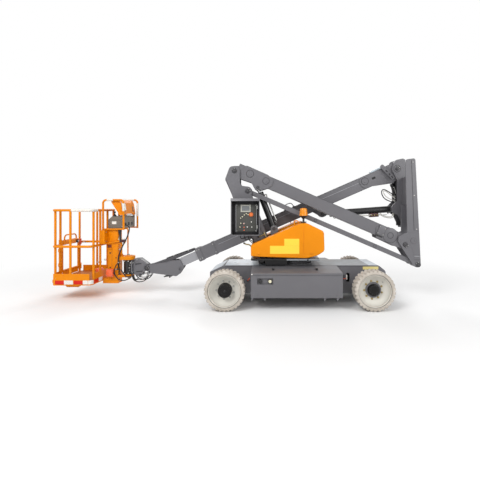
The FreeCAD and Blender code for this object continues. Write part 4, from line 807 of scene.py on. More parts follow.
def hood_trim(name, face_y, outward):
    """Crease strip, blank plates and the lifting eye on a hood."""
    shape = Shape()
    crease = sorted((face_y, face_y + outward * 0.003))
    shape.box(hood_paint, spot(0.083, crease[0], 0.76), spot(0.087, crease[1], 1.175), 0.0012)
    if outward < 0:
        for x0, x1, z0, z1 in ((-0.202, 0.020, 0.887, 0.990), (-0.413, 0.020, 0.767, 0.886)):
            shape.box(yellow_sheet, spot(x0, face_y - 0.0015, z0), spot(x1, face_y + 0.001, z1), 0.0006, 1)
    eye = spot(-0.02, face_y - outward * 0.06, 1.2)
    for offset in (-0.028, 0.028):
        shape.box(hood_paint, eye + Vector((offset - 0.006, -0.02, -0.025)),
                  eye + Vector((offset + 0.006, 0.02, 0.03)), 0.004)
    shape.pipe(tube_paint, [eye + Vector(p) for p in (
        (-0.034, 0, 0.018), (-0.03, 0, 0.05), (0.0, 0, 0.06), (0.03, 0, 0.05), (0.034, 0, 0.018))], 0.007)
    return shape.done(name, "turntable")


hood("hood_near", "cover_near", -1)
hood("hood_far", "cover_far", 1)
hood_trim("hood_trim_near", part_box("cover_near")[0].y, -1)
hood_trim("hood_trim_far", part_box("cover_far")[1].y, 1)


# Chassis

CHASSIS_FRONT = 0.3


def chassis_dress():
    """Bolts, seams, hatch, blank yellow band and tow pin plates of the frame."""
    shape = Shape()
    for side in (-1, 1):
        face = ACROSS * side
        y = side * CHASSIS_FRONT
        band_low, band_high = spot(1.003, y, 0.508), spot(1.239, y + side * 0.0012, 0.552)
        shape.box(pale_yellow, band_low, band_high, 0.0005, 1)
        weld_line(shape, seam_paint, spot(-1.1, y, 0.556), spot(1.1, y, 0.556), size=0.003)
        for x in (-1.19, -1.10, 0.66, 0.86, 1.22):
            shape.bolt(zinc, spot(x, y, 0.235), face, 0.008)
        shape.slab(dark_paint, [
            (MID_X + 0.70, 0.36, 0.01), (MID_X + 0.728, 0.36, 0.01), (MID_X + 0.728, 0.43, 0.01),
            (MID_X + 0.70, 0.43, 0.01)], y, y + side * 0.003, round_by=0.001, steps=1)
        for turn in around(8, ACROSS, 0.2):
            seat = Vector((DRIVE_AXLE.x, side * 0.318, DRIVE_AXLE.z)) + turn @ Vector((0.111, 0, 0))
            shape.bolt(zinc, seat, face, 0.0075)
        for x in (-0.07, 0.07):
            for z in (0.205, 0.365):
                shape.bolt(zinc, Vector((STEER_AXLE.x + x, y, z)), face, 0.008)
        kingpin = Vector((STEER_AXLE.x, side * 0.47, STEER_AXLE.z))
        for way in (-1, 1):
            end = kingpin + UP * way * 0.1
            shape.rod(pin_steel, end - UP * way * 0.002, end + UP * way * 0.004, 0.027, sides=28, round_by=0.001)
            shape.rod(zinc, end + UP * way * 0.003, end + UP * way * 0.012, 0.0035, 0.0024, sides=10)
    for x in (-0.9, -0.3, 0.3, 0.9):
        for y in (-0.15, 0.15):
            shape.turned(dark_paint, [(0.028, 0), (0.033, 0), (0.033, 0.002), (0.028, 0.002)],
                         spot(x, y, 0.14), -UP, steps=32)
    for x in (-0.62, 0.62):
        shape.slab(dark_paint, [
            (MID_X + x - 0.1, -0.1, 0.02), (MID_X + x + 0.1, -0.1, 0.02), (MID_X + x + 0.1, 0.1, 0.02),
            (MID_X + x - 0.1, 0.1, 0.02)], 0.137, 0.1402, way="z", round_by=0.001, steps=1)
        for dx in (-0.08, 0.08):
            for y in (-0.08, 0.08):
                shape.bolt(zinc, spot(x + dx, y, 0.137), -UP, 0.006)
    # Thin sheets on the frame's top carry painted light: lighter and bluish at both ends and on the sloped end, dimmer
    # in the middle stretch.
    for x0, x1, finish in ((-1.1, -0.40, lit_deck_paint), (0.36, 1.085, half_lit_paint), (1.095, 1.235, lit_deck_paint)):
        shape.box(finish, spot(x0, -0.292, 0.5695), spot(x1, 0.292, 0.5713), 0.0006, 1)
    slope = Run((-1.322, 0.4725), (-1.121, 0.5688))
    shape.box(lit_deck_paint, (0.004, -0.292, -0.0005), (slope.length - 0.004, 0.292, 0.0013), 0.0006, 1, place=slope.place)
    shape.box(foam, spot(0.748, -0.304, 0.352), spot(0.764, -0.298, 0.428), 0.002)
    shape.rod(red_plastic, spot(0.702, -0.306, 0.368), spot(0.748, -0.306, 0.372), 0.006, sides=20, round_by=0.002)
    shape.rod(red_plastic, spot(-0.757, -0.312, 0.338), spot(-0.716, -0.33, 0.384), 0.0065, sides=20, round_by=0.002)
    shape.rod(black_plastic, spot(-0.757, -0.298, 0.338), spot(-0.757, -0.32, 0.338), 0.012, sides=24, round_by=0.002)
    return shape.done("chassis_dress", "chassis")


def slew_dress():
    """Gear teeth and bolts of the slewing ring."""
    centre = spot(0, 0, 0)
    shape = Shape()
    for turn in around(90, UP):
        place = Matrix.Translation(centre) @ turn
        shape.box(pin_steel, (0.2455, -0.0045, 0.581), (0.2575, 0.0045, 0.605), place=place)
    for turn in around(28, UP, 0.05):
        shape.bolt(zinc, centre + UP * 0.577 + turn @ Vector((0.2645, 0, 0)), UP, 0.0052)
    return shape.done("slew_teeth", "chassis")


def side_box_dress(name, side):
    """Lid seam, latches, corner screws and the covered sockets of a battery box."""
    low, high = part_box(name)
    face_y = side * 0.715
    out = ACROSS * side
    shape = Shape()
    for x in (-0.368, 0.262):
        seat = spot(x, side * 0.56, 0.551)
        shape.rod(black_plastic, seat - UP * 0.004, seat + UP * 0.028, 0.018, sides=32, round_by=0.006)
        shape.box(zinc, seat + Vector((-0.005, -0.002, 0.027)), seat + Vector((0.005, 0.002, 0.0335)), 0.0012)
    for x in (low.x + 0.09, high.x - 0.09):
        for z in (0.225, 0.48):
            shape.bolt(grey_paint, Vector((x, face_y, z)), out, 0.005)
    for x in (-0.667, -0.485, 0.352, 0.535):
        shape.rod(light_paint, spot(x, side * 0.70, 0.184), spot(x, side * 0.70, 0.146), 0.0055, sides=16, round_by=0.001)
    seam_y = face_y + side * 0.0007
    shape.box(rubber_seal, Vector((low.x + 0.01, face_y - side * 0.002, 0.5035)),
              Vector((high.x - 0.01, seam_y, 0.5065)), 0.0003, 1)
    for x in (low.x, high.x):
        way = -1 if x == low.x else 1
        for y in (0.38, 0.62):
            shape.bolt(zinc, Vector((x, side * y, 0.24)), ALONG * way, 0.006)
        shape.box(dark_paint, Vector((x - 0.001, side * 0.42, 0.3)), Vector((x + way * 0.003, side * 0.6, 0.42)), 0.001)
        for i in range(6):
            z = 0.315 + 0.016 * i
            shape.box(rubber_seal, Vector((x, side * 0.435, z)), Vector((x + way * 0.0045, side * 0.585, z + 0.006)), 0.0008, 1)
    if side < 0:
        for x, cap in ((-0.550, black_plastic), (-0.414, cream_plastic)):
            seat = spot(x, -0.711, 0.419)
            shape.turned(black_plastic, [(0.018, 0), (0.029, 0), (0.029, 0.003), (0.026, 0.006), (0.018, 0.006)],
                         seat, out, steps=40)
            shape.rod(cap, seat - out * 0.002, seat + out * 0.009, 0.022, sides=32, round_by=0.003)
        shape.rod(foam, spot(-0.667, -0.716, 0.518), spot(-0.667, -0.7255, 0.518), 0.009, sides=24, round_by=0.003)
    return shape.done(f"{name}_dress", "chassis")


def steering_dress(place, side):
    """Bolts and dust collar of a steering knuckle."""
    shape = Shape()
    king = Vector((STEER_AXLE.x, side * 0.47, STEER_AXLE.z))
    for way in (-1, 1):
        weld_ring(shape, black_paint, king + UP * way * 0.0685, -UP * way, 0.042, 0.002)
    arm_end = king + Vector((0.11, 0, -0.05))
    shape.bolt(zinc, arm_end, UP, 0.011)
    for turn in around(6, ACROSS):
        shape.bolt(zinc, king + ACROSS * side * 0.062 + turn @ Vector((0.052, 0, 0)), ACROSS * side, 0.005)
    return shape.done(f"knuckle_dress_{place}", f"steer_knuckle_{place}")


chassis_dress()
slew_dress()
side_box_dress("side_box_near", -1)
side_box_dress("side_box_far", 1)
steering_dress("near", -1)
steering_dress("far", 1)


# Turntable

TABLE_TOP = 0.69
EAR_FACES = (-0.27, -0.01)


def table_dress():
    """Black strip painted as the shade under the hood and a grey strip painted as lit deck along the table's edge,
    bolts, drive motor and the riser cylinder's pin.
    """
    shape = Shape()
    for side in (-1, 1):
        y = side * 0.43
        # A black strip painted as the shade in the gap under the hood, then a grey strip painted as the lit deck beyond
        # it.
        shape.box(rubber_seal, spot(-0.69, y - side * 0.002, 0.664), spot(-0.17, y + side * 0.003, 0.688), 0.0015)
        shape.box(half_lit_paint, spot(-0.165, y - side * 0.002, 0.6635), spot(0.322, y + side * 0.003, 0.689), 0.0015)
        for x in (-0.6, -0.4):
            shape.bolt(black_paint, spot(x, y + side * 0.003, 0.676), ACROSS * side, 0.0055)
        shape.bolt(black_paint, spot(0.148, y + side * 0.003, 0.676), ACROSS * side, 0.008)
    shape.box(black_plastic, spot(-0.488, -0.345, 0.58), spot(-0.151, -0.307, 0.663), 0.008, 3)
    motor = spot(-0.52, -0.15, 0.62)
    shape.rod(black_paint, motor, motor - ACROSS * 0.1, 0.036, sides=40, round_by=0.004)
    shape.rod(black_paint, motor - ACROSS * 0.004, motor - ACROSS * 0.016, 0.052, sides=40, round_by=0.002)
    for turn in around(4, ACROSS, 0.785):
        shape.bolt(zinc, motor - ACROSS * 0.016 + turn @ Vector((0.044, 0, 0)), -ACROSS, 0.005)
    for step in range(5):
        seat = motor - ACROSS * (0.03 + 0.013 * step)
        shape.turned(black_paint, [(0.034, 0), (0.04, 0), (0.04, -0.005), (0.034, -0.005)], seat, ACROSS, steps=40)
    for out, y in ((-1, RISER_Y - 0.09), (1, RISER_Y + 0.09)):
        pin_end(shape, PIN_H, y, out, 0.024, 0.6)
    for side in (-1, 1):
        low, high = sorted((RISER_Y + side * 0.078, RISER_Y + side * 0.082))
        shape.slab(grey_paint, [
            (MID_X - 0.312, 0.70), (MID_X - 0.14, 0.70), (MID_X - 0.291, 1.084, 0.04), (MID_X - 0.291, 1.176, 0.048),
            (MID_X - 0.401, 1.176, 0.048), (MID_X - 0.401, 1.064, 0.03)], low, high, round_by=0.001, steps=2)
        foot = RISER_Y + side * 0.07
        weld_line(shape, seam_paint, spot(-0.318, foot + side * 0.008, 0.691), spot(-0.13, foot + side * 0.008, 0.691))
    return shape.done("table_dress", "turntable")


def upright_dress():
    """Pin ends, keeper plates, seams and stiffening rings of the leaning upright."""
    shape = Shape()
    for y, out in ((EAR_FACES[0], -1), (EAR_FACES[1], 1)):
        skin = y + out * 0.0008
        for at, turn in ((PIN_A, -0.5), (PIN_B, 0.9)):
            pin_end(shape, at, y + out * 0.006, out, 0.032, turn)
            weld_ring(shape, seam_paint, spot(at[0], y, at[1]), ACROSS * out, 0.036, 0.0022)
        weld_line(shape, seam_paint, spot(-0.575, skin, 0.73), spot(-0.975, skin, 1.6), spot(-1.088, skin, 1.88))
        weld_line(shape, seam_paint, spot(-0.352, skin, 0.73), spot(-0.752, skin, 1.51))
        for x, z in ((-0.49, 0.78), (-0.43, 0.78), (-0.52, 0.86), (-0.46, 0.86)):
            shape.bolt(zinc, spot(x, y, z), ACROSS * out, 0.008)
    for points, radius in ((((-0.805, 0.905), (-0.775, 0.885), (-0.735, 0.89), (-0.70, 0.862)), 0.010),
                           (((-0.585, 1.005), (-0.55, 1.022), (-0.49, 1.045)), 0.009),
                           (((-0.505, 1.072), (-0.49, 1.045), (-0.478, 1.005)), 0.008)):
        shape.pipe(brass, [spot(x, EAR_FACES[0] - 0.012, z) for x, z in points], radius)
    for x, z in ((-0.807, 0.906), (-0.697, 0.859), (-0.59, 1.002)):
        place = spot(x, EAR_FACES[0] - 0.012, z)
        shape.rod(black_plastic, place - ALONG * 0.012, place + ALONG * 0.012, 0.014, sides=6, round_by=0.001)
    face = Run((-0.979, 1.613), (-1.101, 1.886))
    shape.box(grey_paint, (0.0, -0.245, -0.004), (0.29, -0.035, 0.004), 0.002, place=face.place)
    hatch = Run((-0.564, 0.69), (-0.979, 1.613))
    for reach, width in ((0.16, 0.3), (0.58, 0.3)):
        shape.box(dark_paint, (reach, -0.215, -0.004), (reach + width, -0.065, 0.004), 0.002, place=hatch.place)
        for along in (0.02, width - 0.02):
            for across in (-0.2, -0.08):
                seat = hatch.at(reach + along, across, 0.0)
                shape.bolt(zinc, seat - hatch.above * 0.004, -hatch.above, 0.005)
    return shape.done("upright_dress", "turntable")


def control_panel():
    """Walk-round controls: frame, screen, emergency stop, toggles, key and visor."""
    shape = Shape()
    y = -0.38
    shape.box(panel_plastic, spot(-0.919, y - 0.012, 1.092), spot(-0.616, y - 0.001, 1.497), 0.004)
    shape.box(black_plastic, spot(-0.93, y - 0.004, 1.08), spot(-0.605, y, 1.51), 0.003)
    # Near-black sheets on the back and inner walls of the recess, painted as its shade.
    shape.box(shadow_paint, spot(-0.975, y - 0.0015, 1.052), spot(-0.581, y - 0.0003, 1.578), 0.004)
    for x0, x1, z0, z1 in ((-0.979, -0.9765, 1.06, 1.57), (-0.5795, -0.577, 1.06, 1.57),
                           (-0.97, -0.586, 1.0485, 1.051), (-0.97, -0.586, 1.579, 1.5815)):
        shape.box(shadow_paint, spot(x0, -0.458, z0), spot(x1, y - 0.001, z1), 0.0008, 1)
    for x in (-0.922, -0.613):
        shape.box(light_paint, spot(x - 0.004, y - 0.014, 1.085), spot(x + 0.004, y - 0.002, 1.505), 0.0015)
    for x in (-0.908, -0.627):
        for z in (1.103, 1.486):
            shape.bolt(zinc, spot(x, y - 0.012, z), NEAR, 0.0042)
    shape.box(bezel, spot(-0.851, y - 0.02, 1.384), spot(-0.701, y - 0.011, 1.494), 0.004)
    shape.box(lcd, spot(-0.834, y - 0.0215, 1.402), spot(-0.718, y - 0.018, 1.476), 0.001, 1)
    stop = spot(-0.694, y - 0.012, 1.346)
    shape.rod(stop_plastic, stop + ACROSS * 0.001, stop - ACROSS * 0.003, 0.032, sides=40, round_by=0.001)
    shape.turned(stop_plastic, [
        (0.0, 0.0), (0.013, 0.0), (0.013, 0.014), (0.023, 0.018), (0.025, 0.026), (0.021, 0.033), (0.0, 0.036),
    ], stop - ACROSS * 0.002, NEAR, steps=40, closed=False)
    toggles = (
        (-0.850, 1.288), (-0.825, 1.310), (-0.795, 1.336), (-0.765, 1.358), (-0.739, 1.340),
        (-0.847, 1.213), (-0.859, 1.157), (-0.751, 1.157), (-0.684, 1.156), (-0.690, 1.232),
    )
    for i, (x, z) in enumerate(toggles):
        toggle(shape, spot(x, y - 0.012, z), NEAR, UP, cream_plastic if i < 7 else white_sheet)
    key = spot(-0.80, y - 0.012, 1.213)
    shape.rod(zinc, key + ACROSS * 0.001, key - ACROSS * 0.008, 0.013, sides=28, round_by=0.0015)
    shape.box(salmon_plastic, key + Vector((-0.003, -0.03, -0.01)), key + Vector((0.003, -0.007, 0.01)), 0.0012)
    for x, z in ((-0.80, 1.157), (-0.80, 1.113)):
        shape.rod(salmon_plastic, spot(x, y - 0.011, z), spot(x, y - 0.018, z), 0.008, sides=24, round_by=0.0015)
    for z in (1.165, 1.455):
        shape.box(zinc, spot(-0.612, -0.447, z - 0.022), spot(-0.597, -0.415, z + 0.022), 0.002)
        shape.rod(zinc, spot(-0.6, -0.452, z - 0.024), spot(-0.6, -0.452, z + 0.024), 0.0045, sides=16)
    visor = [(-0.474, 1.588), (-0.498, 1.55), (-0.498, 1.546), (-0.47, 1.583), (-0.31, 1.583), (-0.31, 1.588)]
    shape.slab(grey_paint, [(y_at, z) for y_at, z in visor], MID_X - 0.992, MID_X - 0.564, way="x",
               round_by=0.0012, steps=2)
    for x0, x1 in ((-0.991, -0.983), (-0.573, -0.565)):
        shape.box(grey_paint, spot(x0, -0.474, 1.06), spot(x1, -0.462, 1.586), 0.002)
    shape.box(grey_paint, spot(-0.985, -0.474, 1.038), spot(-0.571, -0.462, 1.046), 0.002)
    for x in (-0.93, -0.63):
        for z in (1.1, 1.53):
            shape.bolt(zinc, spot(x, -0.29, z), ACROSS, 0.006)
    for z in (1.255, 1.315):
        shape.bolt(zinc, spot(-0.76, -0.275, z), -ALONG, 0.007)
    gland = spot(-0.8, -0.34, 1.042)
    for x in (-0.06, 0.0, 0.06):
        shape.pipe(hose, [gland + ALONG * x - UP * 0.02, gland + ALONG * x - UP * 0.08,
                          spot(-0.70 + x * 0.5, -0.31, 0.97 - x), spot(-0.64 + x * 0.3, -0.282, 0.90 - x)], 0.0065)
        shape.rod(black_plastic, gland + ALONG * x + UP * 0.001, gland + ALONG * x - UP * 0.012, 0.013, sides=6, round_by=0.001)
        shape.rod(black_plastic, gland + ALONG * x - UP * 0.011, gland + ALONG * x - UP * 0.024, 0.011, 0.007, sides=20)
    return shape.done("control_panel", "turntable", sharp=35)


def toggle(shape, seat, out, up, cap):
    """Toggle switch: nut, collar and a bat-shaped lever."""
    shape.rod(black_plastic, seat - out * 0.001, seat + out * 0.002, 0.0095, sides=24, round_by=0.0008)
    shape.rod(zinc, seat + out * 0.001, seat + out * 0.005, 0.0068, sides=6, round_by=0.0006, steps=1)
    tip = seat + out * 0.026 + up * 0.006
    shape.rod(cap, seat + out * 0.004, tip, 0.0042, 0.0082, sides=14, round_by=0.002)


def beacon_dress():
    """Ribbed amber lens on a screwed base."""
    low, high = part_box("beacon")
    base = Vector(((low.x + high.x) / 2, (low.y + high.y) / 2, low.z))
    tall = high.z - low.z
    profile = [(0.0, 0.0), (0.0605, 0.0), (0.063, 0.004)]
    for i in range(9):
        rise = 0.012 + i * 0.0085
        profile += [(0.0615 - i * 0.0009, rise), (0.0600 - i * 0.0009, rise + 0.004)]
    profile += [(0.053, 0.096), (0.046, 0.106), (0.03, tall - 0.002), (0.012, tall), (0.0, tall)]
    shape = Shape()
    shape.turned(amber_lens, profile, base, UP, steps=72, closed=False)
    foot = Vector((base.x, base.y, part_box("beacon_stem")[0].z))
    rise = low.z - foot.z
    shape.turned(black_plastic, [
        (0.0, 0.0), (0.045, 0.0), (0.045, 0.009), (0.042, 0.012), (0.02, 0.014), (0.015, 0.02),
        (0.015, rise - 0.05), (0.022, rise - 0.042), (0.034, rise - 0.03), (0.05, rise - 0.014), (0.059, rise - 0.006),
        (0.059, rise), (0.0, rise)], foot, UP, steps=56, closed=False)
    for turn in around(3, UP):
        shape.bolt(zinc, Vector((base.x, base.y, 1.238)) + turn @ Vector((0.038, 0, 0)), UP, 0.0045)
    return shape.done("beacon_lens", "turntable", ("beacon", "beacon_stem"), sharp=40)


def counterweight_dress():
    """Lifting eyes and through bolts of the counterweight."""
    shape = Shape()
    for x, z in ((0.1, 0.8), (0.1, 0.95), (0.28, 0.95)):
        for y, out in ((-0.28, -1), (0.0, 1)):
            shape.bolt(zinc, spot(x, y, z), ACROSS * out, 0.011)
    for x in (0.1, 0.3):
        seat = spot(x, RISER_Y, 1.046)
        shape.pipe(pin_steel, [seat + Vector(p) for p in (
            (-0.03, 0, 0), (-0.03, 0, 0.04), (0.03, 0, 0.04), (0.03, 0, 0))], 0.006)
    return shape.done("counterweight_dress", "turntable")


table_dress()
upright_dress()
control_panel()
beacon_dress()
counterweight_dress()


# Riser

def lower_boom_dress():
    """Seams, stiffening rings, the patch and the cylinder pin of the lower boom."""
    shape = Shape()
    for y, out in ((RISER_Y - 0.102, -1), (RISER_Y + 0.102, 1)):
        face = ACROSS * out
        for (x, z), radius in (((-0.719, 1.974), 0.052), ((-0.474, 1.862), 0.047)):
            weld_ring(shape, seam_paint, spot(x, y, z), face, radius + 0.003)
            # Dark ring painted as the shadow round the inset disc.
            flat_ring(shape, spot(x, y, z), face, radius, 0.008)
            shape.turned(grey_paint, [(0.0, 0.005), (radius * 0.55, 0.005), (radius * 0.5, 0.007), (0.0, 0.007)],
                         spot(x, y, z), face, steps=40, closed=False)
        for at in (PIN_A, PIN_C):
            weld_ring(shape, seam_paint, spot(at[0], y, at[1]), face, 0.056)
        pin_end(shape, PIN_J, y, out, 0.026, 2.6)
        low, high = sorted((y, y + out * 0.004))
        shape.box(grey_paint, (2.39, low, -0.022), (2.505, high, 0.128), 0.0015, place=RISER.place)
        # Dark strips painted as the shadow at the patch plate's ends.
        for reach, end_a, end_b in ((2.386, -0.022, 0.128), (2.506, -0.022, 0.1)):
            shape.box(shadow_paint, (reach - 0.0035, low, end_a), (reach, high - 0.001, end_b), place=RISER.place)
        low, high = sorted((y, y + out * 0.012))
        shape.box(black_plastic, (2.385, low, -0.046), (2.49, high, -0.026), 0.003, place=RISER.place)
        for reach in (2.405, 2.49):
            for above in (0.0, 0.105):
                shape.bolt(zinc, RISER.at(reach, y + out * 0.004, above), face, 0.0055)
        tail = spot(1.443, y, 1.022)
        shape.turned(grey_paint, [(0.0, -0.002), (0.112, -0.002), (0.112, 0.0025), (0.109, 0.004), (0.0, 0.004)],
                     tail, face, steps=80, closed=False)
        # Dark rings painted as the shadow round the tail disc and its boss.
        flat_ring(shape, tail, face, 0.1165, 0.005)
        flat_ring(shape, tail + face * 0.004, face, 0.048, 0.007)
        skin = RISER_Y + out * 0.0895
        for above in (-0.0375, 0.1375):
            weld_line(shape, seam_paint, RISER.at(0.66, skin, above), RISER.at(2.3, skin, above), size=0.0025)
    return shape.done("lower_boom_dress", "lower_boom")


def tie_dress():
    """Seams and pad plates of the tie rod."""
    shape = Shape()
    for out in (-1, 1):
        y = RISER_Y + out * 0.092
        for reach in (0.09, TIE.length - 0.09):
            low, high = sorted((y, y + out * 0.003))
            shape.box(grey_paint, (reach - 0.05, low, -0.028), (reach + 0.05, high, 0.028), 0.001, place=TIE.place)
        for share in (0.4, 0.75):
            weld_ring(shape, seam_paint, TIE.at(TIE.length * share, y, 0), ACROSS * out, 0.02)
    return shape.done("tie_dress", "tie_rod")


def post_dress():
    """Pin ends, seams and bolts of the post and its ears."""
    shape = Shape()
    for y, out in ((EAR_FACES[0], -1), (EAR_FACES[1], 1)):
        for at, turn in ((PIN_C, 2.4), (PIN_D, -0.6)):
            pin_end(shape, at, y + out * 0.006, out, 0.032, turn)
            weld_ring(shape, seam_paint, spot(at[0], y, at[1]), ACROSS * out, 0.036, 0.0022)
    near = EAR_FACES[0]
    weld_ring(shape, seam_paint, spot(1.79, near, 0.943), NEAR, 0.045)
    box_face = BOOM_Y - 0.098
    # Near-black sheet painted as the shade inside the post.
    shape.slab(post_shade_paint, [(MID_X + x, z) for x, z in (
        (1.668, 1.16), (1.782, 1.16), (1.742, 2.07), (1.70, 2.07), (1.664, 1.98))], box_face - 0.0015, box_face + 0.001)
    shape.slab(grey_paint, [(MID_X + x, z) for x, z in (
        (1.80, 1.10), (1.872, 1.10), (1.816, 2.18), (1.76, 2.18))], near - 0.003, near, round_by=0.0008, steps=1)
    # Dark strip painted as the shadow along the plate's edge.
    shape.slab(shadow_paint, [(MID_X + x, z) for x, z in (
        (1.794, 1.10), (1.80, 1.10), (1.76, 2.18), (1.754, 2.18))], near - 0.001, near)
    for x, z in ((1.78, 2.15), (1.80, 1.637), (1.835, 1.12)):
        shape.rod(white_sheet, spot(x, near, z), spot(x, near - 0.006, z), 0.006, sides=16, round_by=0.002)
    shape.slab(grey_paint, [(MID_X + x, z, 0.006) for x, z in (
        (1.70, 1.008), (1.868, 1.068), (1.893, 0.72), (1.80, 0.72))], near - 0.0015, near, round_by=0.0006, steps=1)
    # Dark ring painted as the shadow round the boss.
    flat_ring(shape, spot(1.79, near - 0.0015, 0.943), NEAR, 0.045, 0.010, 0.002)
    # Raised bar whose light grey is a painted highlight along it.
    shape.box(light_paint, spot(1.80, near - 0.006, 0.70), spot(1.884, near, 0.712), 0.002)
    shape.box(grey_paint, spot(1.70, near - 0.003, 1.072), spot(1.868, near, 1.08), 0.001)
    weld_line(shape, seam_paint, spot(1.786, near, 0.65), spot(1.9, near, 0.65), size=0.0025)
    for y, out in ((0.082, -1), (0.318, 1)):
        pin_end(shape, PIN_E, y - out * 0.0 + out * 0.006, out, 0.032, 0.7)
        weld_ring(shape, seam_paint, spot(PIN_E[0], y, PIN_E[1]), ACROSS * out, 0.055)
    for at, half, radius, turn in ((PIN_F, 0.08, 0.026, 2.0), (PIN_N, 0.052, 0.012, 0.4)):
        for out in (-1, 1):
            pin_end(shape, at, BOOM_Y + out * half, out, radius, turn)
    lane = BOOM_Y - 0.085
    for finish, radius, points in (
        (cream_paint, 0.0065, ((1.66, 1.56), (1.60, 1.58), (1.50, 1.63), (1.45, 1.72), (1.49, 1.735), (1.57, 1.67), (1.66, 1.60))),
        (hose, 0.008, ((1.66, 1.53), (1.58, 1.55), (1.47, 1.60), (1.425, 1.70), (1.455, 1.765), (1.56, 1.71), (1.66, 1.64))),
    ):
        shape.pipe(finish, [spot(x, lane - 0.004, z) for x, z in points], radius)
    for x, z in ((1.66, 1.56), (1.66, 1.60), (1.66, 1.53), (1.66, 1.64)):
        shape.rod(zinc, spot(x - 0.016, lane - 0.004, z), spot(x + 0.004, lane - 0.004, z), 0.011, sides=6, round_by=0.001)
    back = Run((1.902, 0.549), (1.877, 1.061))
    for reach in (0.1, 0.35):
        shape.box(rubber_seal, (reach, -0.262, -0.002), (reach + 0.05, -0.018, 0.002), 0.001, place=back.place)
    seam = 0.2 - 0.098
    for z0, z1 in ((1.2, 1.9),):
        weld_line(shape, seam_paint, spot(1.786, seam, z0), spot(1.752, seam, z1), size=0.003)
    return shape.done("post_dress", "post")


lower_boom_dress()
tie_dress()
post_dress()


# Upper boom

HEAD_FACES = (BOOM_Y - 0.092, BOOM_Y + 0.092)
BOX_HALF_W, BOX_HALF_H = 0.08, 0.105
SLEEVE_END = 3.593


def outer_boom_dress():
    """Seams, head discs, wear-pad screws, hose arch and cylinder pins of the outer boom."""
    shape = Shape()
    for y, out in ((HEAD_FACES[0], -1), (HEAD_FACES[1], 1)):
        face = ACROSS * out
        disc = BOOM.at(0.561, y, 0.02)
        weld_ring(shape, seam_paint, disc, face, 0.058)
        # Dark ring painted as the shadow round the head disc.
        flat_ring(shape, disc, face, 0.055, 0.008)
        # Raised strip along the box; its light grey is a painted highlight.
        low, high = sorted((BOOM_Y + out * BOX_HALF_W, BOOM_Y + out * (BOX_HALF_W + 0.004)))
        shape.box(light_paint, (0.66, low, 0.027), (3.2, high, 0.035), 0.0018, place=BOOM.place)
        shape.turned(grey_paint, [(0.0, 0.005), (0.03, 0.005), (0.027, 0.008), (0.0, 0.008)], disc, face,
                     steps=40, closed=False)
        low, high = sorted((y, y + out * 0.0012))
        shape.box(rubber_seal, (0.375, low, -0.006), (0.437, high, 0.028), 0.0005, place=BOOM.place)
        weld_line(shape, seam_paint, BOOM.at(0.66, y - out * 0.011, 0.1), BOOM.at(3.2, y - out * 0.011, 0.1), size=0.0028)
        weld_line(shape, seam_paint, BOOM.at(0.66, y - out * 0.011, -0.1), BOOM.at(3.2, y - out * 0.011, -0.1), size=0.0028)
        collar = BOOM_Y + out * (BOX_HALF_W + 0.009)
        for reach in (SLEEVE_END - 0.07, SLEEVE_END - 0.03):
            for above in (-0.075, 0.075):
                seat = BOOM.at(reach, collar, above)
                shape.bolt(zinc, seat, face, 0.0065)
        for above in (-0.07, 0.07):
            shape.bolt(zinc, BOOM.at(SLEEVE_END - 0.315, collar, above), face, 0.0055)
        for half, at, radius, turn in ((0.07, PIN_G, 0.03, 1.6), (0.052, PIN_M, 0.018, 1.8)):
            pin_end(shape, at, BOOM_Y + out * half, out, radius, turn)
    for way, above in ((1, 0.114), (-1, -0.114)):
        for reach in (SLEEVE_END - 0.07, SLEEVE_END - 0.03):
            for across in (-0.05, 0.05):
                shape.bolt(zinc, BOOM.at(reach, BOOM_Y + across, above), BOOM.above * way, 0.006)
    arch = [BOOM.at(r, BOOM_Y - 0.06, a) for r, a in (
        (1.80, 0.1), (1.81, 0.17), (1.85, 0.185), (1.91, 0.185), (1.95, 0.17), (1.96, 0.1))]
    shape.pipe(black_paint, arch, 0.007)
    for reach in (1.80, 1.96):
        shape.box(black_paint, (reach - 0.02, BOOM_Y - 0.075, 0.104), (reach + 0.02, BOOM_Y - 0.045, 0.11), 0.002,
                  place=BOOM.place)
        shape.bolt(zinc, BOOM.at(reach + 0.012, BOOM_Y - 0.06, 0.11), BOOM.above, 0.0045)
    guide = Run((1.413, 2.137), (1.617, 1.923))
    # Dark patches painted as the shade seen through the guide's slots.
    for share in (0.42, 0.66, 0.88):
        reach = guide.length * share
        shape.box(shadow_paint, (reach - 0.0215, 0.062, -0.0105), (reach + 0.0155, 0.066, 0.0105), place=guide.place)
    skin = BOOM_Y + BOX_HALF_W
    for above in (0.014, 0.03, 0.046):
        line = ((0.69, 0.004), (0.76, 0.0085), (1.2, 0.0085), (1.8, 0.0085), (2.4, 0.0085), (3.1, 0.0085), (3.17, 0.004))
        shape.pipe(hose, [BOOM.at(reach, skin + out, above) for reach, out in line], 0.0066)
    for reach in (0.95, 1.5, 2.05, 2.6, 3.05):
        shape.box(zinc, (reach - 0.011, skin, 0.0), (reach + 0.011, skin + 0.0165, 0.06), 0.001, place=BOOM.place)
        shape.bolt(zinc, BOOM.at(reach, skin + 0.0165, 0.03), ACROSS, 0.004)
    shape.box(cover_plastic, (0.16, BOOM_Y - 0.055, 0.1), (0.40, BOOM_Y + 0.055, 0.13), 0.014, 4, place=BOOM.place)
    return shape.done("outer_boom_dress", "outer_boom")


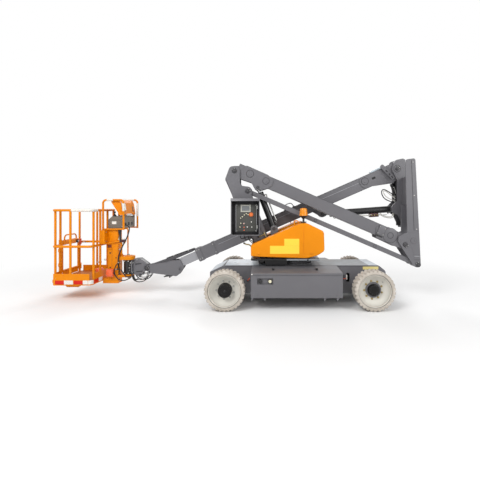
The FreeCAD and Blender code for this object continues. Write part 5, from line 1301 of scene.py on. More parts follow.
def nose_dress():
    """Hose clamp, pin keepers and seams of the boom's nose, and scuffs' strip on the tube."""
    shape = Shape()
    for out in (-1, 1):
        face_y = BOOM_Y + out * 0.08
        pin_end(shape, PIN_P, BOOM_Y + out * 0.09, out, 0.0256, 0.9)
        weld_ring(shape, seam_paint, spot(PIN_P[0], face_y, PIN_P[1]), ACROSS * out, 0.04)
        seat = spot(PIN_S[0], BOOM_Y + out * 0.09, PIN_S[1])
        shape.rod(grey_paint, seat - ACROSS * out * 0.001, seat + ACROSS * out * 0.003, 0.0225, sides=40, round_by=0.001)
        # Dark centre painted as the shade in the boss's bore.
        shape.rod(shadow_paint, seat, seat + ACROSS * out * 0.0036, 0.0115, sides=28)
        low, high = sorted((BOOM_Y + out * 0.0612, BOOM_Y + out * 0.079))
        shape.slab(dark_paint, [(MID_X + x, z, r) for x, z, r in (
            (-1.668, 0.766, 0), (-2.385, 0.508, 0.006), (-2.36, 0.500, 0), (-2.14, 0.540, 0), (-1.93, 0.62, 0),
            (-1.69, 0.724, 0))], low, high, round_by=0.0015, steps=2)
        weld_line(shape, seam_paint, spot(-1.9, face_y, 0.588), spot(-2.06, face_y, 0.569), spot(-2.13, face_y, 0.541),
                  size=0.0022)
    tray = Run((-1.668, 0.766), (-2.14, 0.5962))
    shape.box(dark_paint, (0.0, BOOM_Y - 0.0612, -0.006), (tray.length, BOOM_Y + 0.0612, 0.0), 0.001, place=tray.place)
    for across in (-0.03, 0.0, 0.03):
        shape.pipe(hose, [tray.at(reach, BOOM_Y + across, 0.007) for reach in (0.01, 0.2, 0.35, tray.length - 0.01)], 0.0075)
    for reach in (0.1, 0.36):
        shape.box(zinc, (reach - 0.01, BOOM_Y - 0.05, 0.0), (reach + 0.01, BOOM_Y + 0.05, 0.0165), 0.001, place=tray.place)
    for across in (-0.062, 0.0, 0.062):
        y = BOOM_Y + across
        shape.pipe(black_plastic, [spot(x, y, z) for x, z in (
            (-2.168, 0.304), (-2.135, 0.312), (-2.095, 0.318), (-2.05, 0.329), (-2.02, 0.334), (-1.998, 0.330))], 0.0095)
        shape.rod(black_plastic, spot(-2.085, y, 0.325), spot(-2.068, y, 0.288), 0.0095, sides=20, round_by=0.003)
    shape.rod(pin_steel, spot(-2.085, BOOM_Y - 0.078, 0.318), spot(-2.085, BOOM_Y + 0.078, 0.318), 0.007, sides=24)
    shape.box(pin_steel, spot(-2.15, BOOM_Y - 0.07, 0.316), spot(-2.02, BOOM_Y + 0.07, 0.321), 0.001)
    return shape.done("nose_dress", "inner_boom")


def cylinder_dress(name, base, tip, lane, radius, length, down, block=0.0, pipe_r=0.0048):
    """Gland, ports and steel pipes of a cylinder's barrel."""
    run = Run(base, tip)
    out = NEAR if down is None else run.above * (-1 if down else 1)
    shape = Shape()
    end = run.at(length, lane)
    shape.turned(pin_steel, [
        (radius * 0.55, -0.002), (radius + 0.001, -0.002), (radius + 0.001, 0.004), (radius * 0.55, 0.004),
    ], end, run.along, steps=48)
    for turn in around(6, run.along):
        shape.rod(rubber_seal, end + turn @ run.above * (radius + 0.004) - run.along * 0.02,
                  end + turn @ run.above * (radius + 0.0056) - run.along * 0.02, 0.004, sides=14)
    for reach in (radius * 1.2, length - 0.075):
        weld_ring(shape, black_paint, run.at(reach, lane), run.along, radius - 0.001, 0.0025)
    ports = [run.at(reach, lane) + out * radius for reach in (radius * 1.6, length - 0.06)]
    for port in ports:
        shape.rod(black_paint, port - out * 0.003, port + out * 0.012, 0.012, sides=28, round_by=0.001)
        shape.rod(zinc, port + out * 0.012, port + out * 0.022, 0.0095, sides=6, round_by=0.0008, steps=1)
    far = ports[1] + out * 0.02
    turned = [far, far + out * 0.012, far + out * 0.014 - run.along * 0.02]
    straight = length - 0.06 - radius * 1.6 - 0.06
    turned += [far + out * 0.008 - run.along * (0.06 + straight * share) for share in (0.0, 0.35, 0.7, 1.0)]
    near_port = ports[0] + out * 0.034 + run.along * 0.02
    shape.pipe(zinc, turned[:-1] + [near_port + run.along * 0.03, near_port], pipe_r)
    if block:
        place = run.place @ Matrix.Translation((block, lane, (-1 if down else 1) * (radius + 0.022)))
        shape.box(port_paint, (-0.072, -0.042, -0.034), (0.072, 0.042, 0.03), 0.004, 3, place=place)
        for x in (-0.045, 0.0, 0.045):
            seat = place @ Vector((x, -0.042, -0.002))
            shape.rod(brass, seat, seat - ACROSS * 0.012, 0.011, sides=6, round_by=0.0008, steps=1)
            shape.rod(brass, seat - ACROSS * 0.011, seat - ACROSS * 0.02, 0.007, sides=18, round_by=0.001)
        for y, lift, points in (
            (-0.052, 0.0, ((1.41, 1.345), (1.47, 1.30), (1.53, 1.287), (1.60, 1.275), (1.64, 1.295), (1.655, 1.36))),
            (-0.064, 0.016, ((1.41, 1.345), (1.47, 1.30), (1.53, 1.287), (1.59, 1.28), (1.62, 1.30), (1.63, 1.35))),
            (-0.052, 0.0, ((1.28, 1.335), (1.2, 1.318), (1.1, 1.322), (1.02, 1.335))),
        ):
            shape.pipe(cream_paint, [spot(x, lane + y, z + lift) for x, z in points], 0.006)
    return shape.done(f"{name}_lines", f"{name}_barrel")


outer_boom_dress()
nose_dress()
cylinder_dress("riser_cylinder", PIN_H, PIN_J, RISER_Y, 0.05, 0.6, False, pipe_r=0.0105)
cylinder_dress("boom_cylinder", PIN_F, PIN_G, BOOM_Y, 0.055, 1.06, True, block=0.33)
cylinder_dress("master_cylinder", PIN_N, PIN_M, BOOM_Y, 0.03, 0.335, None)


# Platform

ROTATOR = (-2.781, BOOM_Y)
COLUMN_FACE = BOOM_Y - 0.07


def rotator_dress():
    """Bolted collars, flange bolts and the worm housing of the rotator."""
    shape = Shape()
    centre = spot(ROTATOR[0], ROTATOR[1], 0)
    for z0, z1 in ((0.352, 0.372), (0.556, 0.576)):
        shape.turned(black_paint, [(0.07, z0), (0.0785, z0), (0.0805, z0 + 0.003), (0.0805, z1 - 0.003),
                                   (0.0785, z1), (0.07, z1)], centre, UP, steps=64)
        for turn in around(8, UP, 0.35):
            seat = centre + UP * (z0 + z1) / 2 + turn @ Vector((0.0805, 0, 0))
            shape.bolt(white_sheet, seat, turn @ Vector((1, 0, 0)), 0.0055)
    for z in (0.386, 0.536):
        for y in (-0.07, 0.07):
            shape.bolt(zinc, spot(-2.684, BOOM_Y + y, z), ALONG, 0.0085)
        for x, y in ((-2.715, -0.08),):
            shape.bolt(white_sheet, spot(x, BOOM_Y + y, z), NEAR, 0.006)
    worm = spot(ROTATOR[0] + 0.055, BOOM_Y - 0.08, 0.46)
    shape.rod(black_paint, worm + ACROSS * 0.02, worm - ACROSS * 0.02, 0.026, sides=32, round_by=0.003)
    shape.rod(zinc, worm - ACROSS * 0.019, worm - ACROSS * 0.028, 0.01, sides=6, round_by=0.001, steps=1)
    for z in (0.418, 0.502):
        shape.rod(zinc, spot(-2.72, BOOM_Y - 0.079, z), spot(-2.72, BOOM_Y - 0.098, z), 0.008, sides=6, round_by=0.001, steps=1)
    return shape.done("rotator_dress", "knuckle")


def knuckle_dress():
    """Stiffeners, seams and pins of the levelled bracket."""
    shape = Shape()
    for side in (-1, 1):
        y = BOOM_Y + side * 0.058
        weld_line(shape, seam_paint, spot(-2.683, y, 0.36), spot(-2.683, y, 0.535))
        weld_ring(shape, seam_paint, spot(PIN_K[0], y, PIN_K[1]), ACROSS * side, 0.018, 0.0025)
        pin_end(shape, PIN_K, y, side, 0.014, 3.4)
        shape.box(grey_paint, spot(-2.683, y, 0.552), spot(-2.62, y + side * 0.008, 0.562), 0.001)
        low, high = sorted((BOOM_Y + side * 0.044, BOOM_Y + side * 0.0575))
        shape.slab(grey_paint, [(MID_X + x, z, r) for x, z, r in (
            (-2.683, 0.528, 0), (-2.66, 0.545, 0.01), (-2.652, 0.602, 0.008), (-2.57, 0.608, 0.02), (-2.43, 0.505, 0.01),
            (-2.46, 0.488, 0), (-2.56, 0.51, 0))], low, high, round_by=0.001, steps=2)
        # Dark insets painted as the shade under the bracket's upper and lower flanges.
        low, high = sorted((y, y + side * 0.0012))
        shape.slab(shadow_paint, [(MID_X + x, z) for x, z in (
            (-2.645, 0.526), (-2.535, 0.53), (-2.56, 0.514), (-2.62, 0.505), (-2.645, 0.49))], low, high)
        shape.slab(shadow_paint, [(MID_X + x, z) for x, z in (
            (-2.63, 0.396), (-2.52, 0.405), (-2.53, 0.388), (-2.63, 0.38))], low, high)
        shape.rod(ridge_paint, spot(-2.615, y - side * 0.004, 0.585), spot(-2.615, y + side * 0.008, 0.585), 0.017, sides=6, round_by=0.002)
        shape.rod(foam, spot(-2.415, y, 0.468), spot(-2.415, y + side * 0.0015, 0.468), 0.007, sides=16)
    crown = Run((-2.655, 0.6055), (-2.57, 0.6105))
    shape.box(grey_paint, (0.0, BOOM_Y - 0.0565, -0.008), (crown.length, BOOM_Y + 0.0565, 0.0), 0.002, place=crown.place)
    ramp = Run((-2.568, 0.6085), (-2.436, 0.512))
    shape.box(dark_paint, (0.0, BOOM_Y - 0.0565, -0.008), (ramp.length, BOOM_Y + 0.0565, 0.0), 0.002, place=ramp.place)
    for across, points in (
        (-0.098, ((-2.745, 0.425), (-2.72, 0.40), (-2.69, 0.36), (-2.675, 0.31), (-2.66, 0.27))),
        (-0.078, ((-2.675, 0.33), (-2.665, 0.285), (-2.635, 0.25), (-2.60, 0.262), (-2.585, 0.30))),
    ):
        shape.pipe(hose, [spot(x, BOOM_Y + across, z) for x, z in points], 0.009)
    shape.box(grey_paint, spot(-2.684, BOOM_Y - 0.042, 0.44), spot(-2.6, BOOM_Y + 0.042, 0.448), 0.0015)
    return shape.done("knuckle_dress", "knuckle")


def nose_hoses():
    """Hoses that hang under the bracket, from the knuckle to the boom's nose."""
    shape = Shape()
    for out in (-1, 1):
        for start, lowest, end, radius in (((-2.69, 0.322), 0.226, (-2.402, 0.402), 0.0075),
                                           ((-2.665, 0.335), 0.262, (-2.43, 0.385), 0.006)):
            shape.pipe(hose, [spot(x, BOOM_Y + out * y, z) for x, y, z in (
                (start[0], 0.066, start[1]), (start[0] + 0.018, 0.084, start[1] - 0.06), (-2.61, 0.097, lowest + 0.006),
                (-2.54, 0.097, lowest), (-2.47, 0.097, lowest + 0.022), (end[0] - 0.012, 0.097, end[1] - 0.09),
                (end[0], 0.094, end[1] - 0.03), (end[0], 0.082, end[1]))], radius)
    return shape.done("nose_hoses", "knuckle",
                      across=("inner_boom", spot(-2.55, BOOM_Y, 0.3), spot(-2.42, BOOM_Y, 0.3)))


def carrier_hoses():
    """Loops that hang in front of the rotator, from the carrier to the knuckle."""
    shape = Shape()
    for points in (
        ((-2.895, 0.55), (-2.938, 0.51), (-2.967, 0.43), (-2.955, 0.335), (-2.90, 0.272), (-2.83, 0.252), (-2.765, 0.262),
         (-2.70, 0.30)),
        ((-2.935, 0.438), (-2.89, 0.442), (-2.845, 0.42), (-2.81, 0.36), (-2.76, 0.30), (-2.69, 0.322)),
    ):
        shape.pipe(hose, [spot(x, 0.082 if x < -2.75 else 0.11, z) for x, z in points], 0.008)
    return shape.done("carrier_hoses", "platform",
                      across=("knuckle", spot(-2.93, 0.082, 0.3), spot(-2.73, 0.082, 0.3)))


def carrier_dress():
    """Bracket bolts, seams, support tubes, junction box and hose clips of the carrier."""
    shape = Shape()
    centre = spot(ROTATOR[0], ROTATOR[1], 0)
    for z, way in ((0.645, 1), (0.3, -1)):
        seat = centre + UP * z
        shape.turned(tube_paint, [(0.0, 0.0), (0.05, 0.0), (0.05, 0.006), (0.046, 0.01), (0.0, 0.01)], seat, UP * way,
                     steps=56, closed=False)
        shape.bolt(zinc, seat + UP * way * 0.01, UP * way, 0.016)
        for turn in around(6, UP, 0.2):
            shape.bolt(zinc, seat + UP * way * 0.0 + turn @ Vector((0.072, 0, 0)), UP * way, 0.006)
    for y in (-0.07, 0.07):
        weld_line(shape, tube_paint, spot(-2.921, BOOM_Y + y, 0.345), spot(-2.921, BOOM_Y + y, 0.583))
    for x, z in ((-2.958, 0.62), (-3.055, 0.70), (-3.055, 0.46)):
        shape.bolt(black_paint, spot(x, COLUMN_FACE, z), NEAR, 0.008)
    shape.slab(tube_paint, [
        (MID_X - 2.921, 0.646), (MID_X - 2.86, 0.646), (MID_X - 2.921, 0.74)], BOOM_Y - 0.006, BOOM_Y + 0.006,
        round_by=0.001, steps=1)
    for x, y, low, high in ((-2.808, 0.235, 0.645, 1.052), (-2.866, 0.132, 0.645, 0.862)):
        shape.rod(tube_paint, spot(x, y, low), spot(x, y, high), 0.011, sides=24)
        shape.rod(tube_paint, spot(x, y, low), spot(x, y, low + 0.006), 0.02, sides=24, round_by=0.001)
    shape.pipe(tube_paint, [spot(*p) for p in (
        (-2.808, 0.235, 1.05), (-2.808, 0.235, 1.0975), (-2.835, 0.235, 1.0975), (-2.95, 0.235, 1.0975))], 0.0105)
    shape.box(tube_paint, spot(-2.925, 0.126, 0.846), spot(-2.858, 0.138, 0.872), 0.002)
    shape.box(salmon_plastic, spot(-3.094, 0.062, 0.318), spot(-2.984, COLUMN_FACE, 0.436), 0.008, 3)
    shape.box(salmon_plastic, spot(-3.086, 0.055, 0.33), spot(-2.992, 0.063, 0.424), 0.005)
    for x in (-3.08, -2.998):
        for z in (0.336, 0.418):
            shape.bolt(zinc, spot(x, 0.055, z), NEAR, 0.0035)
    shape.rod(black_plastic, spot(-2.985, 0.096, 0.37), spot(-2.965, 0.096, 0.37), 0.01, sides=6, round_by=0.001, steps=1)
    for z in (0.76, 0.96):
        clip = spot(-2.86, 0.118, z)
        shape.box(zinc, clip - Vector((0.05, 0.002, 0.01)), clip + Vector((0.0, 0.002, 0.01)), 0.001)
    for x, z in ((-2.845, 0.93), (-2.835, 0.9)):
        shape.rod(cream_plastic, spot(x - 0.05, 0.13, z), spot(x - 0.05, 0.098, z), 0.013, sides=24, round_by=0.002)
        shape.rod(black_plastic, spot(x - 0.05, 0.131, z), spot(x - 0.05, 0.12, z), 0.017, sides=24, round_by=0.001)
    for y in (-0.13, 0.13):
        for z in (0.9, 1.05):
            shape.bolt(zinc, spot(-3.095, BOOM_Y + y, z), ALONG, 0.007)
    shape.slab(tube_paint, [
        (MID_X - 3.095, 1.078), (MID_X - 3.095, 0.99, 0.05), (MID_X - 3.04, 0.875, 0.05), (MID_X - 2.926, 0.862),
        (MID_X - 2.926, 1.078)], COLUMN_FACE - 0.004, COLUMN_FACE, round_by=0.001, steps=2)
    shape.slab(tube_paint, [
        (MID_X - 3.024, 0.25), (MID_X - 2.926, 0.25), (MID_X - 2.926, 0.80), (MID_X - 2.99, 0.80),
        (MID_X - 3.024, 0.76)], COLUMN_FACE - 0.004, COLUMN_FACE, round_by=0.001, steps=2)
    # Dark line painted as the shadow in the groove beside the plate.
    shape.box(shadow_paint, spot(-3.0285, COLUMN_FACE - 0.001, 0.27), spot(-3.0245, COLUMN_FACE, 0.755))
    shape.slab(tube_paint, [(MID_X - 2.923, 0.74), (MID_X - 2.905, 0.69), (MID_X - 2.888, 0.302), (MID_X - 2.923, 0.302)],
               0.128, 0.134, round_by=0.001, steps=1)
    # Dark orange painted as the shade in the recess between the plates.
    shape.box(recess_shade_paint, spot(-3.096, COLUMN_FACE - 0.0012, 0.79), spot(-3.032, COLUMN_FACE, 0.84), 0.0005, 1)
    shape.box(tube_paint, spot(-3.095, COLUMN_FACE - 0.02, 0.768), spot(-3.022, COLUMN_FACE, 0.782), 0.003)
    shape.rod(tube_paint, spot(-3.155, 0.105, 0.85), spot(-2.86, 0.105, 0.905), 0.011, sides=28)
    for x in (-2.902, -2.882, -2.862):
        shape.pipe(hose, [spot(*p) for p in ((x, 0.10, 1.108), (x, 0.10, 1.06), (x * 0.3 - 2.011, 0.098, 1.0),
                                             (x * 0.3 - 2.011, 0.10, 0.92), (x * 0.3 - 2.009, 0.104, 0.88))], 0.0095)
    shape.box(port_paint, spot(-2.86, 0.098, 0.878), spot(-2.80, 0.128, 0.925), 0.004)
    for x, z in ((-2.845, 0.935), (-2.815, 0.935), (-2.83, 0.865)):
        shape.rod(foam, spot(x, 0.112, z - 0.012), spot(x, 0.112, z + 0.012), 0.010, sides=20, round_by=0.002)
    shape.rod(tube_paint, spot(-2.83, 0.114, 0.84), spot(-2.806, 0.16, 0.90), 0.009, sides=20)
    for x, z in ((-2.935, 0.438), (-2.895, 0.55)):
        shape.rod(zinc, spot(x, 0.074, z), spot(x, 0.132, z), 0.011, sides=6, round_by=0.001)
    return shape.done("carrier_dress", "platform")


def basket_dress():
    """Deck sheet, striped tape, weld rings, foot plates and screws of the basket."""
    left, right, near, far = -3.817, -3.177, -0.21, 0.62
    top = 0.32
    shape = Shape()
    shape.slab(deck, [
        (MID_X + left + 0.022, near + 0.022, 0.05), (MID_X + right - 0.022, near + 0.022, 0.05),
        (MID_X + right - 0.022, far - 0.022, 0.05), (MID_X + left + 0.022, far - 0.022, 0.05),
    ], top, top + 0.0022, way="z", round_by=0.0006, steps=1)
    for x in (left + 0.07, (left + right) / 2, right - 0.07):
        for y in (near + 0.07, (near + far) / 2, far - 0.07):
            shape.bolt(zinc, spot(x, y, top + 0.0022), UP, 0.005, 0.002)
    stripes = ((-3.748, -3.611, red_tape), (-3.608, -3.469, white_tape), (-3.457, -3.321, red_tape),
               (-3.316, -3.24, white_tape))
    for y, out in ((near, -1), (far, 1)):
        for x0, x1, tape in stripes:
            shape.box(tape, spot(x0, y + out * 0.0014, 0.258), spot(x1, y - out * 0.0085, 0.3195), 0.0004, 1)
    for x, out in ((left, -1), (right, 1)):
        for y0, y1, tape in ((-0.144, -0.006, red_tape), (-0.003, 0.115, white_tape), (0.286, 0.42, red_tape),
                             (0.424, 0.55, white_tape)):
            shape.box(tape, spot(x + out * 0.0014, y0, 0.258), spot(x - out * 0.0085, y1, 0.3195), 0.0004, 1)
    for x, y, start in ((right - 0.06, near + 0.06, -90), (left + 0.06, far - 0.06, 90)):
        corner = []
        for r in (0.0614, 0.0515):
            sweep = [math.radians(start + 3 + step * 8) for step in range(11)]
            corner += [(MID_X + x + r * math.cos(a), y + r * math.sin(a)) for a in (sweep if r > 0.06 else sweep[::-1])]
        shape.slab(white_tape, corner, 0.258, 0.3195, way="z")
    for x in (left + 0.019, -3.52, right - 0.019):
        for y in (near + 0.019, far - 0.019):
            inward = 0.066 if x != -3.52 else 0.0
            place = y + (inward if y < 0.2 else -inward)
            for z in (0.842, 1.409):
                if z == 0.842:
                    for way in (-1, 1):
                        weld_ring(shape, tube_paint, spot(x, place, z + way * 0.018), UP * way, 0.0165, 0.0022)
                else:
                    weld_ring(shape, tube_paint, spot(x, place, z - 0.018), -UP, 0.0165, 0.0022)
            weld_ring(shape, tube_paint, spot(x, place, top + 0.001), UP, 0.0165, 0.0026)
    for x in (-3.7, -3.62, -3.4, -3.3):
        for y, out in ((near, -1), (far, 1)):
            shape.bolt(tube_paint, spot(x, y, 0.39), ACROSS * out, 0.005)
    for x in (left + 0.12, right - 0.12):
        shape.box(tube_paint, spot(x - 0.02, near + 0.05, 0.236), spot(x + 0.02, far - 0.05, 0.262), 0.003)
    for x in (-3.6, -3.46):
        shape.bolt(zinc, spot(x, -0.09, 0.196), -UP, 0.008)
    for y, out in ((near + 0.0, -1),):
        shape.rod(zinc, spot(-3.74, y + out * 0.004, 0.352), spot(-3.74, y + 0.002, 0.352), 0.004, sides=12)
    bend = [spot(-3.256 + 0.06 * math.sin(a), -0.131 - 0.06 * math.cos(a), 1.409)
            for a in (math.radians(15 * step) for step in range(7))]
    shape.pipe(foam, [spot(-3.50, -0.191, 1.409), spot(-3.38, -0.191, 1.409), *bend, spot(-3.196, -0.09, 1.409),
                      spot(-3.196, -0.02, 1.409)], 0.0232)
    anchor = spot(-3.177 - 0.019, 0.2, 0.56)
    for way in (-1, 1):
        seat = anchor + ACROSS * way * 0.12
        shape.turned(tube_paint, [(0.0175, -0.01), (0.023, -0.01), (0.023, 0.01), (0.0175, 0.01)], seat, UP, steps=32)
        ring = [seat + Vector(p) for p in ((-0.018, 0, 0.008), (-0.055, 0, 0.014), (-0.055, 0, -0.014), (-0.018, 0, -0.008))]
        shape.pipe(zinc, ring, 0.005)
    return shape.done("basket_dress", "platform")


def foot_switch():
    """Guarded foot pedal on the deck."""
    shape = Shape()
    x0, x1, y0, y1 = -3.335, -3.235, 0.13, 0.30
    shape.box(salmon_plastic, spot(x0, y0, 0.3222), spot(x1, y1, 0.338), 0.004, 3)
    outline = [(MID_X + x1 - 0.004, 0.33), (MID_X + x1 - 0.004, 0.395, 0.03), (MID_X + x1 - 0.035, 0.436, 0.02),
               (MID_X + x0 + 0.012, 0.432, 0.01), (MID_X + x0 + 0.012, 0.424), (MID_X + x1 - 0.04, 0.424, 0.02),
               (MID_X + x1 - 0.014, 0.39, 0.02), (MID_X + x1 - 0.014, 0.33)]
    shape.slab(salmon_plastic, outline, y0 + 0.004, y1 - 0.004, round_by=0.0015)
    cheek = [(MID_X + x1 - 0.005, 0.33), (MID_X + x1 - 0.005, 0.4, 0.03), (MID_X + x1 - 0.04, 0.434, 0.02),
             (MID_X + x0 + 0.03, 0.43, 0.01), (MID_X + x0 + 0.06, 0.33)]
    for low in (y0 + 0.002, y1 - 0.008):
        shape.slab(salmon_plastic, cheek, low, low + 0.006, round_by=0.001)
    pedal = Run((x0 + 0.012, 0.345), (x1 - 0.02, 0.366))
    shape.box(black_plastic, (0.0, y0 + 0.02, 0.0), (0.075, y1 - 0.02, 0.009), 0.003, place=pedal.place)
    for i in range(7):
        reach = 0.006 + i * 0.009
        shape.box(rubber_seal, (reach, y0 + 0.03, 0.008), (reach + 0.004, y1 - 0.03, 0.0115), 0.001, place=pedal.place)
    return shape.done("foot_switch", "platform")


def gate_dress():
    """Latch, hinge bolts and padded sleeve of the swing gate."""
    shape = Shape()
    x = -3.798
    for z in (0.525, 0.758):
        seat = spot(x, 0.0, z)
        for way in (-1, 1):
            weld_ring(shape, tube_paint, seat + UP * way * 0.024, UP * way, 0.0285, 0.0018)
        for y in (0.034, 0.044):
            shape.bolt(black_paint, spot(x + 0.008, y, z), ALONG, 0.0045)
    shape.box(tube_paint, spot(x - 0.021, 0.066, 0.838), spot(x + 0.021, 0.4, 0.918), 0.014, 4)
    for y in (0.1, 0.366):
        shape.box(rubber_seal, spot(x - 0.0214, y, 0.8385), spot(x + 0.0214, y + 0.003, 0.9175), 0.0142, 4)
    shape.box(black_plastic, spot(x - 0.024, 0.425, 0.842), spot(x + 0.026, 0.482, 0.89), 0.006)
    shape.box(zinc, spot(x + 0.024, 0.436, 0.85), spot(x + 0.032, 0.472, 0.882), 0.002)
    shape.rod(zinc, spot(x, 0.48, 0.866), spot(x, 0.503, 0.866), 0.007, sides=20, round_by=0.001)
    for y in (0.106, 0.432):
        weld_ring(shape, tube_paint, spot(x, y, 0.9205), UP, 0.0105, 0.0018)
    return shape.done("gate_dress", "gate")


def gate_catch():
    """Catch plates and rubber stop on the basket's corner post, where the gate closes."""
    shape = Shape()
    x, y = -3.798, 0.535
    for z in (0.42, 0.85):
        shape.turned(red_plastic if z > 0.5 else tube_paint, [(0.0175, -0.05), (0.027, -0.05), (0.03, -0.046),
                     (0.03, 0.046), (0.027, 0.05), (0.0175, 0.05)], spot(x, y, z), UP, steps=36)
    shape.box(red_plastic, spot(x - 0.012, y, 0.802), spot(x + 0.012, y + 0.045, 0.898), 0.004)
    shape.rod(zinc, spot(x + 0.026, y, 0.84), spot(x + 0.1, y, 0.84), 0.0055, sides=20, round_by=0.001)
    shape.rod(black_plastic, spot(x + 0.098, y, 0.84), spot(x + 0.112, y, 0.84), 0.009, sides=24, round_by=0.003)
    return shape.done("gate_catch", "platform")


def console_dress():
    """Sloped panel, joysticks, toggles, screen and stop of the platform console."""
    shape = Shape()
    top, near, far = 1.305, 0.131, 0.619
    shape.slab(panel_plastic, [
        (MID_X - 3.032, near + 0.02, 0.01), (MID_X - 2.858, near + 0.02, 0.01),
        (MID_X - 2.858, far - 0.02, 0.01), (MID_X - 3.032, far - 0.02, 0.01),
    ], top - 0.001, top + 0.004, way="z", round_by=0.0012)
    for x in (-3.012, -2.868):
        for y in (near + 0.03, far - 0.03):
            shape.bolt(zinc, spot(x, y, top + 0.004), UP, 0.003)
    for x, y in ((-3.012, 0.195), (-3.012, 0.56)):
        stick(shape, spot(x, y, top + 0.003))
    for i in range(5):
        toggle(shape, spot(-2.9, 0.25 + i * 0.036, top + 0.004), UP, ALONG, black_plastic)
    for i in range(4):
        toggle(shape, spot(-2.975, 0.27 + i * 0.042, top + 0.004), UP, ALONG, black_plastic)
    shape.box(black_plastic, spot(-2.93, 0.42, top + 0.002), spot(-2.872, 0.5, top + 0.009), 0.002)
    shape.box(lcd, spot(-2.926, 0.426, top + 0.008), spot(-2.876, 0.494, top + 0.0098), 0.0006, 1)
    stop = spot(-2.99, 0.46, top + 0.004)
    shape.rod(yellow_sheet, stop - UP * 0.001, stop + UP * 0.003, 0.03, sides=36, round_by=0.001)
    shape.turned(red_plastic, [(0.0, 0.0), (0.012, 0.0), (0.012, 0.013), (0.02, 0.017), (0.022, 0.024), (0.0, 0.032)],
                 stop + UP * 0.002, UP, steps=36, closed=False)
    shape.box(white_sheet, spot(-3.027, near - 0.0009, 1.178), spot(-2.955, near + 0.0005, 1.223), 0.0004, 1)
    for x in (-3.075, -2.865):
        for z in (1.14, 1.235):
            shape.bolt(zinc, spot(x, near, z), NEAR, 0.0035)
            shape.bolt(zinc, spot(x, far, z), ACROSS, 0.0035)
    seam = 1.243
    shape.box(rubber_seal, spot(-3.0895, near - 0.0006, seam), spot(-2.8505, far + 0.0006, seam + 0.0022), 0.0004, 1)
    gland = spot(-2.836, 0.15, 1.165)
    shape.rod(black_plastic, gland - ALONG * 0.014, gland + ALONG * 0.002, 0.0175, sides=6, round_by=0.0015)
    shape.turned(black_plastic, [
        (0.0, 0.0), (0.0155, 0.0), (0.0155, 0.006), (0.0135, 0.008), (0.0135, 0.014), (0.0125, 0.016),
        (0.0125, 0.024), (0.0115, 0.026), (0.0108, 0.036), (0.0, 0.036),
    ], gland, ALONG, steps=40, closed=False)
    for y in (0.25, 0.37, 0.5):
        shape.box(black_plastic, spot(-2.8515, y - 0.028, 1.15), spot(-2.8435, y + 0.028, 1.2), 0.003)
    return shape.done("console_dress", "platform", sharp=38)


def stick(shape, seat):
    """Joystick: ribbed gaiter, lever and grip."""
    gaiter = [(0.0, 0.0), (0.034, 0.0), (0.034, 0.004)]
    for i in range(4):
        gaiter += [(0.031 - i * 0.005, 0.007 + i * 0.007), (0.0265 - i * 0.005, 0.0105 + i * 0.007)]
    gaiter += [(0.009, 0.036), (0.0, 0.038)]
    shape.turned(rubber_seal, gaiter, seat, UP, steps=36, closed=False)
    shape.turned(black_plastic, [
        (0.0, 0.03), (0.0065, 0.03), (0.007, 0.046), (0.014, 0.050), (0.017, 0.060), (0.0165, 0.074), (0.012, 0.082), (0.0, 0.084),
    ], seat, UP, steps=28, closed=False)


def cover_dress():
    """Raised rim, rivets and hinge straps of the console lid."""
    shape = Shape()
    near, far = 0.125, 0.625
    face = Run((-2.874, 1.531), (-2.852, 1.405))
    for y in (near + 0.08, far - 0.08):
        shape.box(black_paint, (0.06, y - 0.014, 0.001), (0.16, y + 0.014, 0.0035), 0.001, place=face.place)
        for reach in (0.08, 0.115):
            shape.bolt(zinc, face.at(reach, y, 0.0035), face.above, 0.004)
    shape.box(white_sheet, (0.004, near + 0.006, 0.0008), (face.length - 0.004, 0.272, 0.0022), 0.0004, 1, place=face.place)
    shape.box(orange_plastic, spot(-3.032, near - 0.004, 1.5665), spot(-2.93, far + 0.004, 1.5735), 0.0025)
    for y in (0.118, 0.632):
        out = -1 if y < 0.3 else 1
        for x, z in ((-3.0, 1.55), (-2.915, 1.55), (-2.885, 1.42)):
            shape.rod(orange_plastic, spot(x, y, z), spot(x, y + out * 0.0025, z), 0.005, sides=16, round_by=0.001)
    return shape.done("cover_dress", "console_cover")


def guard_dress():
    """Weld rings and saddle clamps of the guard hoops."""
    shape = Shape()
    for y in (0.092, 0.66):
        for x in (-3.155, -2.818):
            weld_ring(shape, tube_paint, spot(x, y, 1.13), UP, 0.015, 0.002)
    for start, end in (((-3.09, 0.092, 1.577), (-2.99, 0.092, 1.577)), ((-3.09, 0.66, 1.59), (-2.875, 0.66, 1.59)),
                       ((-2.818, 0.66, 1.53), (-2.818, 0.66, 1.30)),
                       ((-2.818, 0.092, 1.52), (-2.818, 0.092, 1.395))):
        shape.rod(foam, spot(*start), spot(*end), 0.0185, sides=32, round_by=0.002)
    for y in (0.2, 0.5):
        for x in (-3.08, -2.96):
            seat = spot(x, y, 1.0975)
            shape.turned(black_plastic, [(0.0132, -0.012), (0.0148, -0.012), (0.0148, 0.012), (0.0132, 0.012)], seat,
                         ACROSS, steps=32)
    return shape.done("guard_dress", "platform")


rotator_dress()
knuckle_dress()
nose_hoses()
carrier_dress()
carrier_hoses()
basket_dress()
foot_switch()
gate_dress()
gate_catch()
console_dress()
cover_dress()
guard_dress()


# Stage

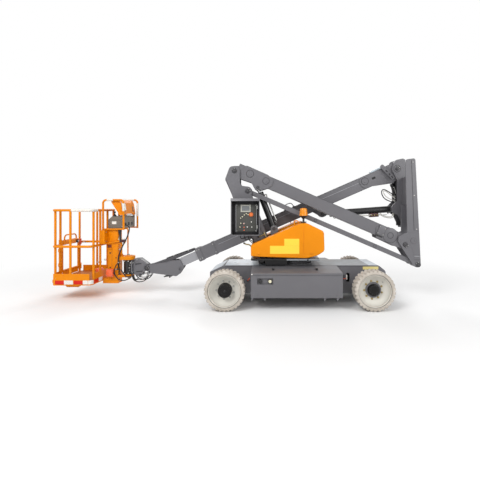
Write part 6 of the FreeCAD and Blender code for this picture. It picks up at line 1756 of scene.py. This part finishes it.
floor_bm = bmesh.new()
bmesh.ops.create_grid(floor_bm, x_segments=1, y_segments=1, size=40)
floor_mesh = bpy.data.meshes.new("floor")
floor_bm.to_mesh(floor_mesh)
floor_bm.free()
floor = bpy.data.objects.new("floor", floor_mesh)
bpy.context.scene.collection.objects.link(floor)
ground = Finish("floor", Roughness=0.9)
ground.set(Base_Color=(0.86, 0.86, 0.86, 1.0), Specular_IOR_Level=0.1)
distance = ground.add("ShaderNodeVectorMath", {"operation": "LENGTH"}, {0: ground.place}, output="Value")
direct = ground.add("ShaderNodeLightPath", output="Is Camera Ray")
mirrored = ground.add("ShaderNodeLightPath", output="Is Glossy Ray")
through = ground.add("ShaderNodeLightPath", output="Is Transmission Ray")
white = ground.add("ShaderNodeEmission", None, {"Color": (1, 1, 1, 1), "Strength": 1.0})
blend = ground.add("ShaderNodeMixShader", None, {
    0: distance.over(2.6, 6.5) * (direct + mirrored + through), 1: ground.shaded(), 2: white})
ground.feed(ground.tree.nodes["Material Output"].inputs["Surface"], blend)
floor_mesh.materials.append(ground.material)


def area_light(name, place, target, size, power):
    lamp = bpy.data.lights.new(name, "AREA")
    lamp.shape = "DISK"
    lamp.size = size
    lamp.energy = power
    holder = bpy.data.objects.new(name, lamp)
    holder.location = place
    holder.rotation_euler = (Vector(target) - Vector(place)).to_track_quat("-Z", "Y").to_euler()
    bpy.context.scene.collection.objects.link(holder)


area_light("key", (-3.5, -6.0, 6.5), (0, 0, 0.8), 4.0, 420)
area_light("fill", (6.0, -5.0, 4.0), (0, 0, 1.0), 4.0, 180)
area_light("back", (0, 6.5, 5.5), (0, 0, 1.0), 4.0, 260)

world = bpy.data.worlds.new("studio")
bpy.context.scene.world = world
world.use_nodes = True
nodes, links = world.node_tree.nodes, world.node_tree.links
background = nodes["Background"]
seen = nodes.new("ShaderNodeLightPath")
share = seen.outputs["Is Camera Ray"]
for ray in ("Is Glossy Ray", "Is Transmission Ray"):
    either = nodes.new("ShaderNodeMath")
    either.operation = "MAXIMUM"
    links.new(share, either.inputs[0])
    links.new(seen.outputs[ray], either.inputs[1])
    share = either.outputs[0]
strength = nodes.new("ShaderNodeMapRange")
links.new(share, strength.inputs["Value"])
strength.inputs["To Min"].default_value = 0.62
strength.inputs["To Max"].default_value = 1.0
links.new(strength.outputs[0], background.inputs["Strength"])
background.inputs["Color"].default_value = (1, 1, 1, 1)

bpy.context.scene.view_settings.view_transform = "Standard"
